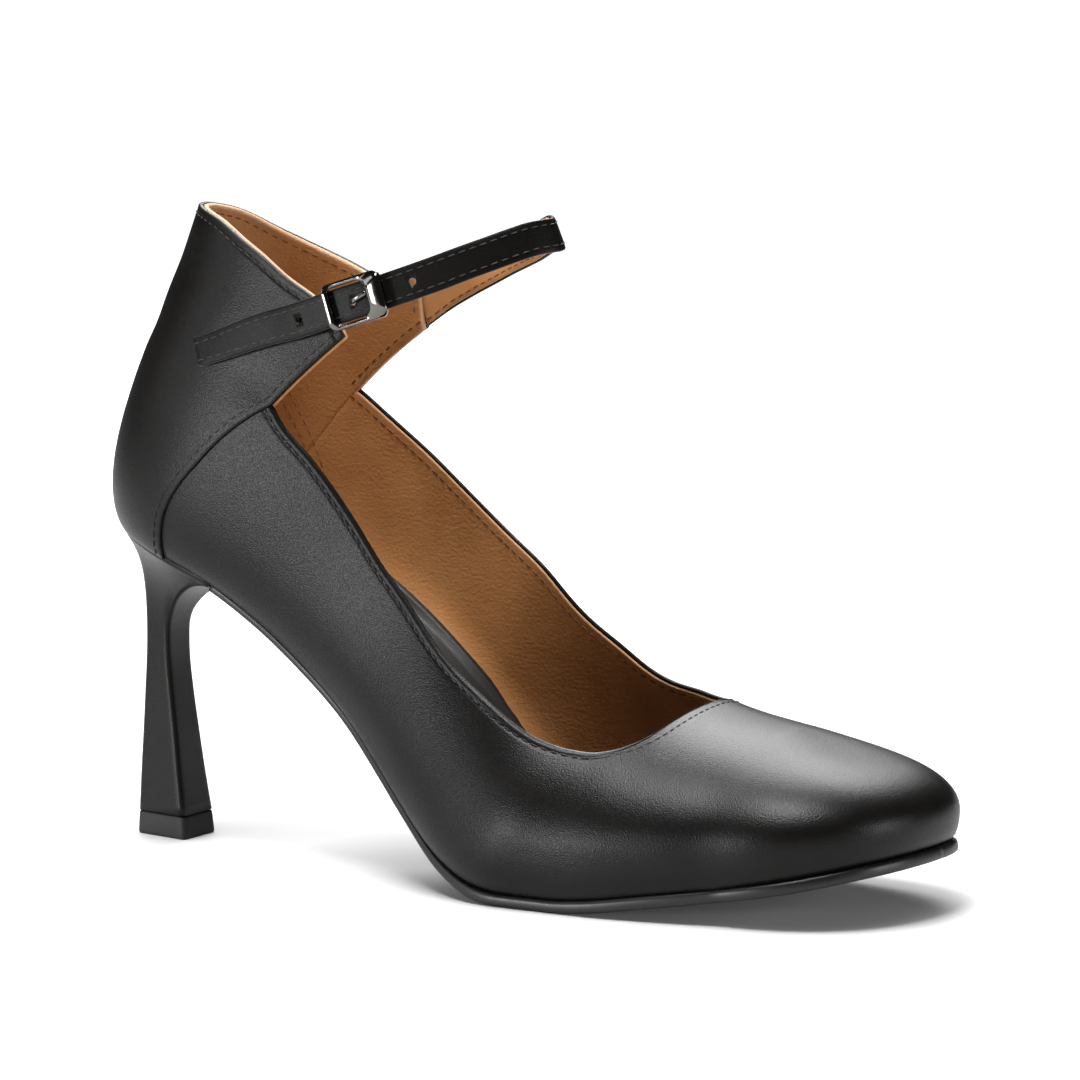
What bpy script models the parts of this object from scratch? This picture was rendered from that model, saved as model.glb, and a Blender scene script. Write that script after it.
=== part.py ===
"""Ankle strap pump, right shoe, as an assembly of separate pieces.

Metres. +X runs to the toe, +Y to the inner side of the foot, +Z up.
The origin is the middle of the heel tip's tread face, on the floor.
"""
import math

import bpy
import numpy as np

# Last: the form that the upper is pulled over
LENGTH = 0.217
BALL_WIDTH = 0.076
SEAT_WIDTH = 0.046
SEAT_RISE = 0.0755
TOE_SPRING = 0.013
ARCH_LIFT = 0.005
INSTEP = 0.060
COLLAR = 0.084
TOE_BOX = 0.026
TOP_FALL = 0.0080
BULGE = 0.0065
BELLY = 0.022
CONE = 0.022
RIDGE = 0.010
HEEL_REACH = 0.0286
TOE_DRIFT = 0.006

# Leather and sole
WALL = 0.0020
PANEL_STEP = 0.0008
SOLE = 0.0030
SHANK_SOLE = 0.0022
WELT = 0.0008
SHANK_INSET = 0.0005
SOCK = 0.0022
ARCH_PAD = 0.004
GAP = 0.0003
SOCK_GAP = 0.0006

# Heel
TIP_LONG = 0.0168
TIP_WIDE = 0.0137
TIP_THICK = 0.0055
TIP_BEHIND = 0.0096
STEM_TOP = 0.050
BREAST = 0.0361
HEEL_LIP = 0.0012
HEEL_INSET = 0.0003

# Strap
STRAP_WIDE = 0.0083
STRAP_THICK = 0.0018
STRAP_HEIGHT = 0.1350
STRAP_TILT = math.radians(24)
LOOP_MID = 0.075
LOOP_LONG = 0.0433
LOOP_OUTER = 0.0256
LOOP_INNER = 0.0236
LOOP_SQUARE = 1.6
JOINT_GAP = 0.0005
HOLE_WIDE = 0.0018
HOLE_STEP = 0.0152
HOLE_AT = 0.0045

# Buckle
FRAME_LONG = 0.0158
FRAME_HIGH = 0.0113
FRAME_RAIL = 0.0012
FRAME_AHEAD = 0.0010
KEEPER_BAR = 0.0017
KEEPER_THICK = 0.0016
END_BAR = 0.0042
END_THICK = 0.0026
RAIL_DEPTH = 0.0009
CORNER_ROUND = 0.0020
WINDOW_ROUND = 0.0030
CHAMFER = 0.0004
PRONG_ROUND = 0.00055
PRONG_HIGH = 0.0011
TAB_THICK = 0.0010
TAB_WIDE = 0.0066
TAB_LONG = 0.0200
TAB_AHEAD = 0.0030

# Where the last's parts change, as shares of the length
HEEL_AT = 0.130
TOE_AT = 0.830
SEAM_FOOT = 0.115
LEAN = math.radians(37)
HEEL_SQUARE = 2.1
TOE_SQUARE = 2.3

# Back line of the last: shares of the side bulge, the belly, the reach and the collar's height
BACK_BULGE = 1.10
BACK_BELLY = 1.14
BACK_TOP = 1.12
BACK_HIGH = 0.976

# Toe tip: shares of the side bulge and the belly
TIP_BULGE = 0.25
TIP_BELLY = 0.36

# Heel's back curve as a share of its width, and its flare under the seat as shares of the rise
HEEL_BOW = 0.40
FLARE_CLIMB = 0.72
FLARE_UNDER = 0.30
FLARE_TIGHT = 0.24

# Bottom line: shares of the length, the seat's rise, the toe spring and the arch lift
BOTTOM = np.array([
    # along, seat, spring, arch
    (0.000, 1.000, 0.00, 0.00),
    (0.060, 0.960, 0.00, 0.00),
    (0.115, 0.905, 0.00, 0.00),
    (0.166, 0.842, 0.00, 0.00),
    (0.220, 0.746, 0.00, 0.25),
    (0.285, 0.599, 0.00, 0.75),
    (0.345, 0.453, 0.00, 1.00),
    (0.400, 0.302, 0.00, 0.95),
    (0.450, 0.167, 0.00, 0.65),
    (0.500, 0.064, 0.00, 0.28),
    (0.550, 0.010, 0.00, 0.05),
    (0.590, 0.000, 0.00, 0.00),
    (0.640, 0.000, 0.00, 0.00),
    (0.690, 0.000, 0.07, 0.00),
    (0.740, 0.000, 0.20, 0.00),
    (0.830, 0.000, 0.43, 0.00),
    (0.910, 0.000, 0.68, 0.00),
    (0.970, 0.000, 0.90, 0.00),
    (1.000, 0.000, 1.00, 0.00)])
BOTTOM_COLUMNS = "along seat spring arch".split()

# Sections of the last: half widths, side bulges, top line and how full each half is
SECTION_COLUMNS = ("along seat outer inner bulge_outer bulge_inner belly cone ridge "
                   "collar instep side top drop lean").split()
SECTIONS = np.array([
    (0.130, .50, .000, .000, 0.80, 0.80, 1.00, 1.00, 0.00, 1.00, 0.000, .35, .20, .30, 0.500),
    (0.230, .46, .004, .000, 0.90, 1.00, 0.90, 0.95, 0.10, 0.75, 0.280, .38, .25, .25, 0.835),
    (0.332, .36, .065, .012, 1.00, 1.40, 0.78, 0.75, 0.30, 0.35, 0.710, .42, .35, .15, 0.945),
    (0.428, .15, .278, .186, 0.90, 1.20, 0.68, 0.30, 0.60, 0.00, 1.000, .48, .50, .05, 0.920),
    (0.498, .03, .430, .357, 0.70, 0.80, 0.60, 0.10, 0.80, 0.00, 0.920, .50, .60, .00, 0.760),
    (0.576, .00, .500, .474, 0.50, 0.50, 0.55, 0.00, 1.00, 0.00, 0.820, .50, .64, .00, 0.500),
    (0.668, .00, .500, .500, 0.35, 0.35, 0.50, 0.00, 1.10, 0.00, 0.710, .50, .64, .00, 0.190),
    (0.760, .00, .474, .480, 0.30, 0.30, 0.46, 0.00, 0.95, 0.00, 0.593, .50, .62, .00, 0.000),
    (0.830, .00, .428, .454, 0.30, 0.30, 0.43, 0.00, 0.85, 0.00, 0.517, .50, .62, .00, 0.000)])

# Top edge of quarters and vamp: foot station, then station and share of the rib at the edge
TOPLINE_COLUMNS = "foot outer_at outer_up inner_at inner_up".split()
TOPLINE = np.array([
    (0.115, 0.1690, 0.597, 0.1480, 0.531),
    (0.150, 0.1860, 0.566, 0.1780, 0.517),
    (0.190, 0.2140, 0.549, 0.2080, 0.512),
    (0.250, 0.2620, 0.519, 0.2620, 0.518),
    (0.310, 0.3140, 0.495, 0.3160, 0.552),
    (0.370, 0.3720, 0.496, 0.3720, 0.630),
    (0.430, 0.4300, 0.498, 0.4310, 0.682),
    (0.490, 0.4900, 0.499, 0.4900, 0.706),
    (0.550, 0.5530, 0.493, 0.5530, 0.722),
    (0.600, 0.6070, 0.485, 0.6070, 0.731),
    (0.640, 0.6530, 0.498, 0.6500, 0.742),
    (0.670, 0.6830, 0.543, 0.6800, 0.768),
    (0.690, 0.6990, 0.600, 0.6960, 0.810),
    (0.705, 0.7070, 0.665, 0.7040, 0.855),
    (0.720, 0.7105, 0.775, 0.7080, 0.900),
    (0.735, 0.7110, 0.890, 0.7095, 0.950),
    (0.750, 0.7100, 1.000, 0.7100, 1.000)])

# Collar of the rear panel, from the back line out to the tip of each wing
COLLAR_COLUMNS = "out outer inner".split()
COLLAR_EDGE = np.array([
    (0.00, 0.965, 0.965),
    (0.20, 0.980, 0.945),
    (0.40, 0.988, 0.905),
    (0.60, 0.957, 0.877),
    (0.75, 0.927, 0.867),
    (0.90, 0.922, 0.950),
    (1.00, 0.892, 0.829)])
WING_TIP = {"outer": 0.193, "inner": 0.183}
BACK_LEVEL = 0.57

# Stem of the heel: shares of its height, of half the tip's length and of half its width
STEM_COLUMNS = "rise behind ahead back front".split()
STEM = np.array([
    (0.00, 0.964, 0.930, 0.61, 0.965),
    (0.22, 0.893, 0.760, 0.60, 0.875),
    (0.44, 0.810, 0.607, 0.585, 0.80),
    (0.66, 0.738, 0.452, 0.57, 0.75),
    (0.88, 0.667, 0.333, 0.57, 0.73),
    (1.00, 0.650, 0.320, 0.585, 0.745)])
TIP_BACK = 0.63

# Strap round the ankle: turn from straight ahead, height of its middle, width and tilt
STRAP_COLUMNS = "turn middle wide tilt".split()
STRAP = np.array([
    (-90, 1.000, 1.00, 1.00),
    (-60, 1.053, 1.00, 1.00),
    (-32, 1.097, 0.98, 1.00),
    (-8, 1.122, 0.98, 1.00),
    (17, 1.124, 0.99, 0.95),
    (43, 1.096, 1.06, 0.85),
    (69, 1.058, 1.24, 0.65),
    (90, 1.010, 1.48, 0.35),
    (97, 0.987, 1.58, 0.20)])
STRAP_TURNS = [90, 81, 72, 62, 52, 43, 34, 26, 19, 12, 6, 0, -6, -13, -22, -32, -43, -54, -65, -77, -90]

# Strap's tail on the outer wing: its middle on the last, width, and how far the buckle's tab lifts it
TAIL_COLUMNS = "at up wide lift".split()
TAIL = np.array([
    (0.1652, 0.844, 1.02, 1.0),
    (0.1511, 0.783, 0.99, 1.0),
    (0.1370, 0.726, 0.95, 0.5),
    (0.1233, 0.672, 0.90, 0.0),
    (0.1100, 0.624, 0.86, 0.0)])

HEEL_STATIONS = [0, .023, .046, .069, .08625, .1035, SEAM_FOOT, HEEL_AT]
SIDE_STATIONS = [.148, BREAST/LENGTH, .190, .220, .250, .280, .310, .340, .370, .400, .430, .460, .490,
                 .520, .550, .575, .600, .640, .670, .690, .705, .720, .735, .750, .770, .790, .810, TOE_AT]
TOE_STATIONS = [.850, .870, .890, .910, .930, .950, .968, .985, 1.0]
RIB_POINTS = 41
SKIN_ROWS = [0, .05, .12, .20, .30, .41, .52, .63, .75, .87, 1]
COLLAR_ROWS = [.17, .33, .5, .67, .83, 1]
SEAM_RISE = 0.2
SEAM_BEND = 1.6

BLACK = (0.012, 0.011, 0.011, 1)
NICKEL = (0.30, 0.29, 0.28, 1)


def ease(rows, column, share):
    """Read a table's column at a share, along a smooth curve that never overshoots."""
    xs, ys = rows[:, 0], rows[:, column]
    share = np.asarray(share, float)
    step = np.diff(xs)
    rise = np.diff(ys)/step
    slope = np.zeros_like(ys)
    mean = (rise[:-1]*step[1:] + rise[1:]*step[:-1])/(step[1:] + step[:-1])
    least = 3*np.minimum(np.abs(rise[:-1]), np.abs(rise[1:]))
    slope[1:-1] = np.where(rise[:-1]*rise[1:] > 0, np.sign(mean)*np.minimum(np.abs(mean), least), 0)
    slope[0], slope[-1] = rise[0], rise[-1]
    i = np.clip(np.searchsorted(xs, share, side="right") - 1, 0, len(xs) - 2)
    s = (share - xs[i])/step[i]
    return (ys[i]*(2*s**3 - 3*s**2 + 1) + step[i]*slope[i]*(s**3 - 2*s**2 + s)
            + ys[i + 1]*(3*s**2 - 2*s**3) + step[i]*slope[i + 1]*(s**3 - s**2))


def section(name, share):
    return float(ease(SECTIONS, SECTION_COLUMNS.index(name), share))


def bottom(share):
    """Height of the sole's upper face on the middle line."""
    return SOLE + SEAT_RISE*ease(BOTTOM, 1, share) + TOE_SPRING*ease(BOTTOM, 2, share)


def arch(share):
    return float(ease(BOTTOM, 3, share))


def lean(share):
    """How far a section leans forward, nearly square to the falling shank."""
    return LEAN*section("lean", share)


def upward(share):
    """The direction in which a station's rib rises."""
    tilt = lean(max(share, HEEL_AT)) if share < TOE_AT else 0.0
    return np.array([math.sin(tilt), 0, math.cos(tilt)])


def sole_up(share):
    """Square to the sole's upper face."""
    near = 0.004
    slope = float(bottom(share + near) - bottom(share - near))/(2*near*LENGTH)
    return np.array([-slope, 0, 1])/math.hypot(slope, 1)


def bezier(points, count):
    t = np.linspace(0, 1, count)[:, None]
    a, b, c, d = [np.array(p, float) for p in points]
    return a*(1 - t)**3 + 3*b*t*(1 - t)**2 + 3*c*t*t*(1 - t) + d*t**3


def evenly(line, count):
    """The same line with points at even steps along it."""
    run = np.concatenate([[0], np.cumsum(np.linalg.norm(np.diff(line, axis=0), axis=1))])
    reach = np.linspace(0, run[-1], count)
    return np.stack([np.interp(reach, run, line[:, k]) for k in range(line.shape[1])], -1)


def rib(foot, bulge, belly, out, high, side, top, drop, lift=0.0):
    """Half a section as out and up: feather edge, belly, then over to the top."""
    wide = foot + bulge
    rise = high - belly
    low = bezier([(foot, lift), (foot + .55*bulge, lift + .12*(belly - lift)),
                  (wide, lift + .45*(belly - lift)), (wide, belly)], 9)
    over = bezier([(wide, belly), (wide, belly + side*rise),
                   (out + top*(wide - out), high - drop*rise), (out, high)], 33)
    return evenly(np.vstack([low, over[1:]]), RIB_POINTS)


def half(side):
    return "outer" if side < 0 else "inner"


def foot_width(side, share):
    return SEAT_WIDTH*section("seat", share) + BALL_WIDTH*section(half(side), share)


def side_rib(side, share):
    return rib(foot=foot_width(side, share),
               bulge=BULGE*section("bulge_" + half(side), share),
               belly=BELLY*section("belly", share),
               out=CONE*section("cone", share) + side*RIDGE*section("ridge", share),
               high=COLLAR*section("collar", share) + INSTEP*section("instep", share),
               side=section("side", share), top=section("top", share), drop=section("drop", share),
               lift=ARCH_LIFT*arch(share) if side > 0 else 0.0)


def round_end(share, square):
    """How far aside and how far to the end a rounded end has gone at a share of its turn."""
    turn = share*math.pi/2
    c, s = abs(math.cos(turn)), abs(math.sin(turn))
    r = (c**square + s**square)**(-1/square)
    return c*r, s*r


def heel_column(side, share):
    aside, behind = round_end(1 - share/HEEL_AT, HEEL_SQUARE)
    up = upward(HEEL_AT)
    flank = side_rib(side, HEEL_AT)
    back = rib(foot=HEEL_REACH, bulge=BACK_BULGE*BULGE, belly=BACK_BELLY*BELLY, out=BACK_TOP*HEEL_REACH,
               high=BACK_HIGH*COLLAR, side=section("side", HEEL_AT), top=0, drop=section("drop", HEEL_AT))
    high = flank[:, 1]*(1 - behind) + back[:, 1]*behind
    x = HEEL_AT*LENGTH - back[:, 0]*behind*up[2] + high*up[0]
    z = bottom(HEEL_AT) + back[:, 0]*behind*up[0] + high*up[2]
    fade = (1 - np.linspace(0, 1, RIB_POINTS))**2
    z += (bottom(max(x[0], 0)/LENGTH) - z[0])*fade
    return np.stack([x, side*flank[:, 0]*aside, z], -1)


def toe_column(side, share):
    aside, ahead = round_end((share - TOE_AT)/(1 - TOE_AT), TOE_SQUARE)
    flank = side_rib(side, TOE_AT)
    tip = rib(foot=LENGTH*(1 - TOE_AT), bulge=TIP_BULGE*BULGE, belly=TIP_BELLY*BELLY, out=0, high=TOE_BOX,
              side=section("side", TOE_AT), top=section("top", TOE_AT), drop=0)
    q = np.linspace(0, 1, RIB_POINTS)
    mid = RIDGE*section("ridge", TOE_AT)*q + TOE_DRIFT*(1 - q)
    x = TOE_AT*LENGTH + tip[:, 0]*ahead
    y = mid*(1 - aside) + side*flank[:, 0]*aside
    z = bottom(x[0]/LENGTH)*(1 - q) + bottom(TOE_AT)*q + flank[:, 1]*(1 - ahead) + tip[:, 1]*ahead
    z += (flank[-1, 1] - tip[-1, 1])*ahead*q**3
    z -= TOP_FALL*tip[:, 0]/tip[0, 0]*ahead*q**2
    return np.stack([x, y, z], -1)


COLUMN_STORE = {}


def column(side, share):
    """The last's line from the feather edge to the top at one station."""
    key = (side, round(float(share), 6))
    if key not in COLUMN_STORE:
        if share < HEEL_AT:
            line = heel_column(side, share)
        elif share > TOE_AT:
            line = toe_column(side, share)
        else:
            up = upward(share)
            flat = side_rib(side, share)
            line = np.stack([share*LENGTH + flat[:, 1]*up[0], side*flat[:, 0],
                             bottom(share) + flat[:, 1]*up[2]], -1)
        COLUMN_STORE[key] = line
    return COLUMN_STORE[key]


def on_last(side, share, reach):
    """A point of the last: a station, and a share of its rib from the feather edge up."""
    line = column(side, share)
    place = np.clip(reach, 0, 1)*(RIB_POINTS - 1)
    low = min(int(place), RIB_POINTS - 2)
    return line[low] + (line[low + 1] - line[low])*(place - low)


def sole_point(side, share, inset, lift=0.0):
    """A point of the sole's upper face, inset from the feather edge and lifted off the face."""
    foot = column(side, share)[0]
    if share < HEEL_AT:
        aside, end = round_end(1 - share/HEEL_AT, HEEL_SQUARE)
        x, y = foot[0] + inset*end, foot[1] - side*inset*aside
    elif share > TOE_AT:
        aside, end = round_end((share - TOE_AT)/(1 - TOE_AT), TOE_SQUARE)
        x, y = foot[0] - inset*end, foot[1] - side*inset*aside
    else:
        return across(share, foot[1] - side*inset) + lift*sole_up(share)
    return np.array([x, y, bottom(x/LENGTH)]) + lift*sole_up(x/LENGTH)


def across(share, y):
    """A point of the sole's upper face at a station; the inner side is lifted at the arch."""
    inner = foot_width(1, share)
    lift = ARCH_LIFT*arch(share)*(max(y, 0)/inner)**2
    return np.array([share*LENGTH, y, float(bottom(share))]) + lift*upward(share)


def seam_bend(rise):
    return max(0.0, (rise - SEAM_RISE)/(1 - SEAM_RISE))**SEAM_BEND


def topline(name, foot):
    return float(ease(TOPLINE, TOPLINE_COLUMNS.index(name), foot))


def quarter_place(side, foot, rise):
    """Station and rib share of the quarter's and vamp's net at a share of its height."""
    throat_foot, throat_at = TOPLINE[-1, :2]
    if foot > TOE_AT:
        return foot, rise
    if foot > throat_foot:
        at = throat_at + (foot - throat_foot)*(TOE_AT - throat_at)/(TOE_AT - throat_foot)
        return foot + (at - foot)*seam_bend(rise), rise
    at = topline(half(side) + "_at", foot)
    return foot + (at - foot)*seam_bend(rise), topline(half(side) + "_up", foot)*rise


def panel_place(side, foot, rise):
    """The same for the rear panel: rise to 1 is its lower part, 1 to 2 is the collar."""
    out = foot/SEAM_FOOT
    corner_at = topline(half(side) + "_at", SEAM_FOOT)
    corner_up = topline(half(side) + "_up", SEAM_FOOT)
    level = BACK_LEVEL + (corner_up - BACK_LEVEL)*out**2
    if rise <= 1:
        return out*(SEAM_FOOT + (corner_at - SEAM_FOOT)*seam_bend(rise)), level*rise
    edge = corner_at + (WING_TIP[half(side)] - corner_at)*(rise - 1)
    high = float(ease(COLLAR_EDGE, COLLAR_COLUMNS.index(half(side)), out))
    return out*edge, level + (high - level)*(rise - 1)


def start_scene():
    for item in list(bpy.data.objects):
        bpy.data.objects.remove(item)
    groups = []
    for name in ("ankle_strap_pump", "cutters"):
        group = bpy.data.collections.get(name) or bpy.data.collections.new(name)
        if group.name not in bpy.context.scene.collection.children:
            bpy.context.scene.collection.children.link(group)
        groups.append(group)
    return groups


PARTS, CUTTERS = start_scene()


def finish(name, colour, roughness, metallic=0.0):
    material = bpy.data.materials.new(name)
    material.use_nodes = True
    shader = material.node_tree.nodes["Principled BSDF"]
    shader.inputs["Base Color"].default_value = colour
    shader.inputs["Roughness"].default_value = roughness
    shader.inputs["Metallic"].default_value = metallic
    return material


def make(name, points, faces, material, group=None):
    """A mesh object whose points are given from the back of the counter."""
    mesh = bpy.data.meshes.new(name)
    shift = np.array([TIP_BEHIND, 0, 0])
    mesh.from_pydata([tuple(np.asarray(p, float) - shift) for p in points], [], faces)
    mesh.update()
    item = bpy.data.objects.new(name, mesh)
    (group or PARTS).objects.link(item)
    if material:
        mesh.materials.append(material)
    mesh.shade_smooth()
    mesh.set_sharp_from_angle(angle=math.radians(40))
    return item


class Net:
    """Points and faces of a mesh, where points that coincide are one."""

    def __init__(self):
        self.points = []
        self.index = {}
        self.faces = []

    def point(self, place, tag=""):
        key = (tag,) + tuple(round(float(v), 7) for v in place)
        if key not in self.index:
            self.index[key] = len(self.points)
            self.points.append(np.array(place, float))
        return self.index[key]

    def face(self, *corners):
        ring = [c for k, c in enumerate(corners) if c != corners[k - 1]]
        if len(set(ring)) > 2:
            self.faces.append(tuple(ring))


def ring_stations():
    return HEEL_STATIONS + SIDE_STATIONS + TOE_STATIONS


def upper_net():
    """The upper's skin, with the rows of each face tagged as rear panel or not."""
    net = Net()
    panel = []
    stations = ring_stations()
    foot_of = {}
    for side in (-1, 1):
        lines = {}
        for foot in stations:
            place = panel_place if foot < SEAM_FOOT else quarter_place
            lines[foot] = [net.point(on_last(side, *place(side, foot, rise))) for rise in SKIN_ROWS]
            foot_of[lines[foot][0]] = (side, foot)
        for near, far in zip(stations, stations[1:]):
            for a, b, c, d in zip(lines[near], lines[far], lines[far][1:], lines[near][1:]):
                before = len(net.faces)
                net.face(*((a, b, c, d) if side < 0 else (b, a, d, c)))
                panel += [far <= SEAM_FOOT]*(len(net.faces) - before)
        rear = [foot for foot in stations if foot <= SEAM_FOOT]
        collar = {foot: [lines[foot][-1]] + [net.point(on_last(side, *panel_place(side, foot, 1 + rise)))
                                             for rise in COLLAR_ROWS] for foot in rear}
        for near, far in zip(rear, rear[1:]):
            for a, b, c, d in zip(collar[near], collar[far], collar[far][1:], collar[near][1:]):
                net.face(*((a, b, c, d) if side < 0 else (b, a, d, c)))
                panel.append(True)
    return net, panel, foot_of


def point_normals(net):
    normals = np.zeros((len(net.points), 3))
    for ring in net.faces:
        corners = [net.points[k] for k in ring]
        turn = sum(np.cross(corners[k - 1] - corners[0], corners[k] - corners[0])
                   for k in range(2, len(corners)))
        for k in ring:
            normals[k] += turn
    return normals/np.linalg.norm(normals, axis=1)[:, None]


def build_upper(material):
    """One hollow wall with its panel step, open at the collar, the throat and the feather edge."""
    skin, panel, foot_of = upper_net()
    normals = point_normals(skin)
    wall = Net()
    flat, raised, inside = {}, {}, {}
    for k, place in enumerate(skin.points):
        if k in foot_of:
            side, foot = foot_of[k]
            flat[k] = wall.point(sole_point(side, foot, 0, GAP), "flat%d" % k)
            raised[k] = wall.point(sole_point(side, foot, -PANEL_STEP, GAP), "raised%d" % k)
            inside[k] = wall.point(sole_point(side, foot, WALL, GAP), "inside%d" % k)
        else:
            flat[k] = wall.point(place, "flat%d" % k)
            raised[k] = wall.point(place + normals[k]*PANEL_STEP, "raised%d" % k)
            inside[k] = wall.point(place - normals[k]*WALL, "inside%d" % k)
    owners = {}
    for ring, on_panel in zip(skin.faces, panel):
        shell = raised if on_panel else flat
        wall.face(*[shell[k] for k in ring])
        wall.face(*[inside[k] for k in reversed(ring)])
        for a, b in zip(ring, ring[1:] + ring[:1]):
            owners.setdefault(frozenset((a, b)), []).append((a, b, on_panel))
    seam_ends = {}
    for edge, uses in owners.items():
        if len(uses) == 1:
            a, b, on_panel = uses[0]
            shell = raised if on_panel else flat
            wall.face(shell[b], shell[a], inside[a], inside[b])
        elif uses[0][2] != uses[1][2]:
            a, b, _ = next(use for use in uses if use[2])
            wall.face(raised[b], raised[a], flat[a], flat[b])
            seam_ends[a] = seam_ends.get(a, 0) + 1
            seam_ends[b] = seam_ends.get(b, 0) - 1
    for k, count in seam_ends.items():
        if count:
            wall.face(*((raised[k], inside[k], flat[k]) if count > 0 else (flat[k], inside[k], raised[k])))
    used = sorted({k for ring in wall.faces for k in ring})
    number = {k: n for n, k in enumerate(used)}
    return make("upper", [wall.points[k] for k in used],
                [tuple(number[k] for k in ring) for ring in wall.faces], material)


def slab(name, stations, inset, low, high, material, steps=6):
    """A sheet that follows the sole's upper face between two heights, given by station and side share."""
    net = Net()
    rows = []
    for foot in stations:
        outer, inner = [sole_point(side, foot, inset(foot)) for side in (-1, 1)]
        up = sole_up(outer[0]/LENGTH)
        under, over = [], []
        for step in range(steps + 1):
            share = step/steps
            y = outer[1] + (inner[1] - outer[1])*share
            if HEEL_AT <= foot <= TOE_AT:
                place = across(foot, y)
            else:
                place = outer + (inner - outer)*share
            under.append(net.point(place + up*low(foot), "low"))
            over.append(net.point(place + up*high(foot, max(y, 0)/max(inner[1], GAP)), "high"))
        rows.append((under, over))
    for (under_a, over_a), (under_b, over_b) in zip(rows, rows[1:]):
        for k in range(steps):
            net.face(over_a[k], over_b[k], over_b[k + 1], over_a[k + 1])
            net.face(under_a[k + 1], under_b[k + 1], under_b[k], under_a[k])
        net.face(under_a[0], under_b[0], over_b[0], over_a[0])
        net.face(over_a[-1], over_b[-1], under_b[-1], under_a[-1])
    for (under, over), turned in ((rows[0], False), (rows[-1], True)):
        for k in range(steps):
            ring = (under[k], over[k], over[k + 1], under[k + 1])
            net.face(*(reversed(ring) if turned else ring))
    return make(name, net.points, net.faces, material)


def forefoot(share):
    """0 in the shank, 1 from the ball forward."""
    s = min(max((share - .44)/(.56 - .44), 0), 1)
    return s*s*(3 - 2*s)


def build_outsole(material):
    stations = [BREAST/LENGTH + GAP/LENGTH] + [s for s in ring_stations() if s > BREAST/LENGTH + .01]
    return slab("outsole", stations, lambda s: SHANK_INSET - (SHANK_INSET + WELT)*forefoot(s),
                lambda s: -(SHANK_SOLE + (SOLE - SHANK_SOLE)*forefoot(s)), lambda s, out: 0.0, material)


def build_insole(material):
    inset = WALL + SOCK_GAP
    return slab("insole", ring_stations(), lambda s: inset, lambda s: GAP,
                lambda s, out: GAP + SOCK + ARCH_PAD*arch(s)*out**2, material)


def heel_outline(behind, ahead, back, front, height, side_points=5, back_points=4, front_points=6):
    """One level of the stem, from the middle of the back round the outer side to the inner one."""
    bow = HEEL_BOW*(back + front)/2
    points = []
    for k in range(back_points):
        turn = math.pi/2*k/back_points
        points.append((TIP_BEHIND - behind + bow*(1 - math.cos(turn)), -back*math.sin(turn)))
    for k in range(side_points + 1):
        share = k/side_points
        x0 = TIP_BEHIND - behind + bow
        points.append((x0 + (TIP_BEHIND + ahead - x0)*share, -(back + (front - back)*share)))
    outer = points
    breast = [(TIP_BEHIND + ahead, -front + 2*front*k/front_points) for k in range(1, front_points)]
    inner = [(x, -y) for x, y in reversed(outer[1:])]
    return [np.array([x, y, height]) for x, y in outer + breast + inner]


def seat_outline(lift, outer_count=10, front_points=6):
    """The heel's upper edge, with a point for each point of a level of the stem."""
    shares = np.linspace(0, BREAST/LENGTH, outer_count)
    outer = [sole_point(-1, s, HEEL_INSET, lift) for s in shares]
    inner = [sole_point(1, s, HEEL_INSET, lift) for s in reversed(shares[1:])]
    a, b = outer[-1], inner[0]
    breast = [a + (b - a)*k/front_points for k in range(1, front_points)]
    return outer + breast + inner


def stem(name, rise):
    return float(ease(STEM, STEM_COLUMNS.index(name), rise))


def build_heel(material, levels=7, flare=6):
    base = TIP_THICK + GAP
    half_long, half_wide = TIP_LONG/2, TIP_WIDE/2
    rings = []
    for k in range(levels):
        rise = k/(levels - 1)
        rings.append(heel_outline(half_long*stem("behind", rise), half_long*stem("ahead", rise),
                                  half_wide*stem("back", rise), half_wide*stem("front", rise),
                                  base + (STEM_TOP - base)*rise))
    waist, edge = rings[-1], seat_outline(-HEEL_LIP)
    widest = max(np.linalg.norm((e - w)[:2]) for e, w in zip(edge, waist))
    for k in range(1, flare + 1):
        t = k/flare
        ring = []
        for low, high in zip(waist, edge):
            rise = high[2] - low[2]
            away = np.linalg.norm((high - low)[:2])/widest
            climb = low + np.array([0, 0, FLARE_CLIMB*rise])
            under = (low + high)/2
            under[2] = high[2] - rise*(FLARE_UNDER - FLARE_TIGHT*away)
            ring.append(low*(1 - t)**3 + 3*climb*t*(1 - t)**2 + 3*under*t*t*(1 - t) + high*t**3)
        rings.append(ring)
    rings.append(seat_outline(0.0))
    return loft("heel", rings, material)


def loft(name, rings, material):
    """A solid through closed rings of one count, capped in strips from one side to the other."""
    net = Net()
    lines = [[net.point(p, str(n)) for p in ring] for n, ring in enumerate(rings)]
    count = len(lines[0])
    for low, high in zip(lines, lines[1:]):
        for k in range(count):
            after = (k + 1) % count
            net.face(low[k], low[after], high[after], high[k])
    for line, turned in ((lines[0], True), (lines[-1], False)):
        for k in range(count//2):
            strip = (line[k], line[k + 1], line[-k - 1], line[-k] if k else line[0])
            net.face(*(reversed(strip) if turned else strip))
    return make(name, net.points, net.faces, material)


def build_top_piece(material):
    half_long, half_wide = TIP_LONG/2, TIP_WIDE/2
    tread = heel_outline(half_long, half_long, half_wide*TIP_BACK, half_wide, 0.0)
    top = heel_outline(half_long*stem("behind", 0), half_long*stem("ahead", 0),
                       half_wide*stem("back", 0), half_wide*stem("front", 0), TIP_THICK)
    return loft("top_piece", [tread, top], material)


def outward(side, share, reach):
    """The last's outward direction at a station and a share of its rib."""
    near = 0.004
    along = on_last(side, share + near, reach) - on_last(side, share - near, reach)
    up = on_last(side, share, reach + near) - on_last(side, share, reach - near)
    across_both = np.cross(along, up)*-side
    return across_both/np.linalg.norm(across_both)


def unit(v):
    return v/np.linalg.norm(v)


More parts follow.
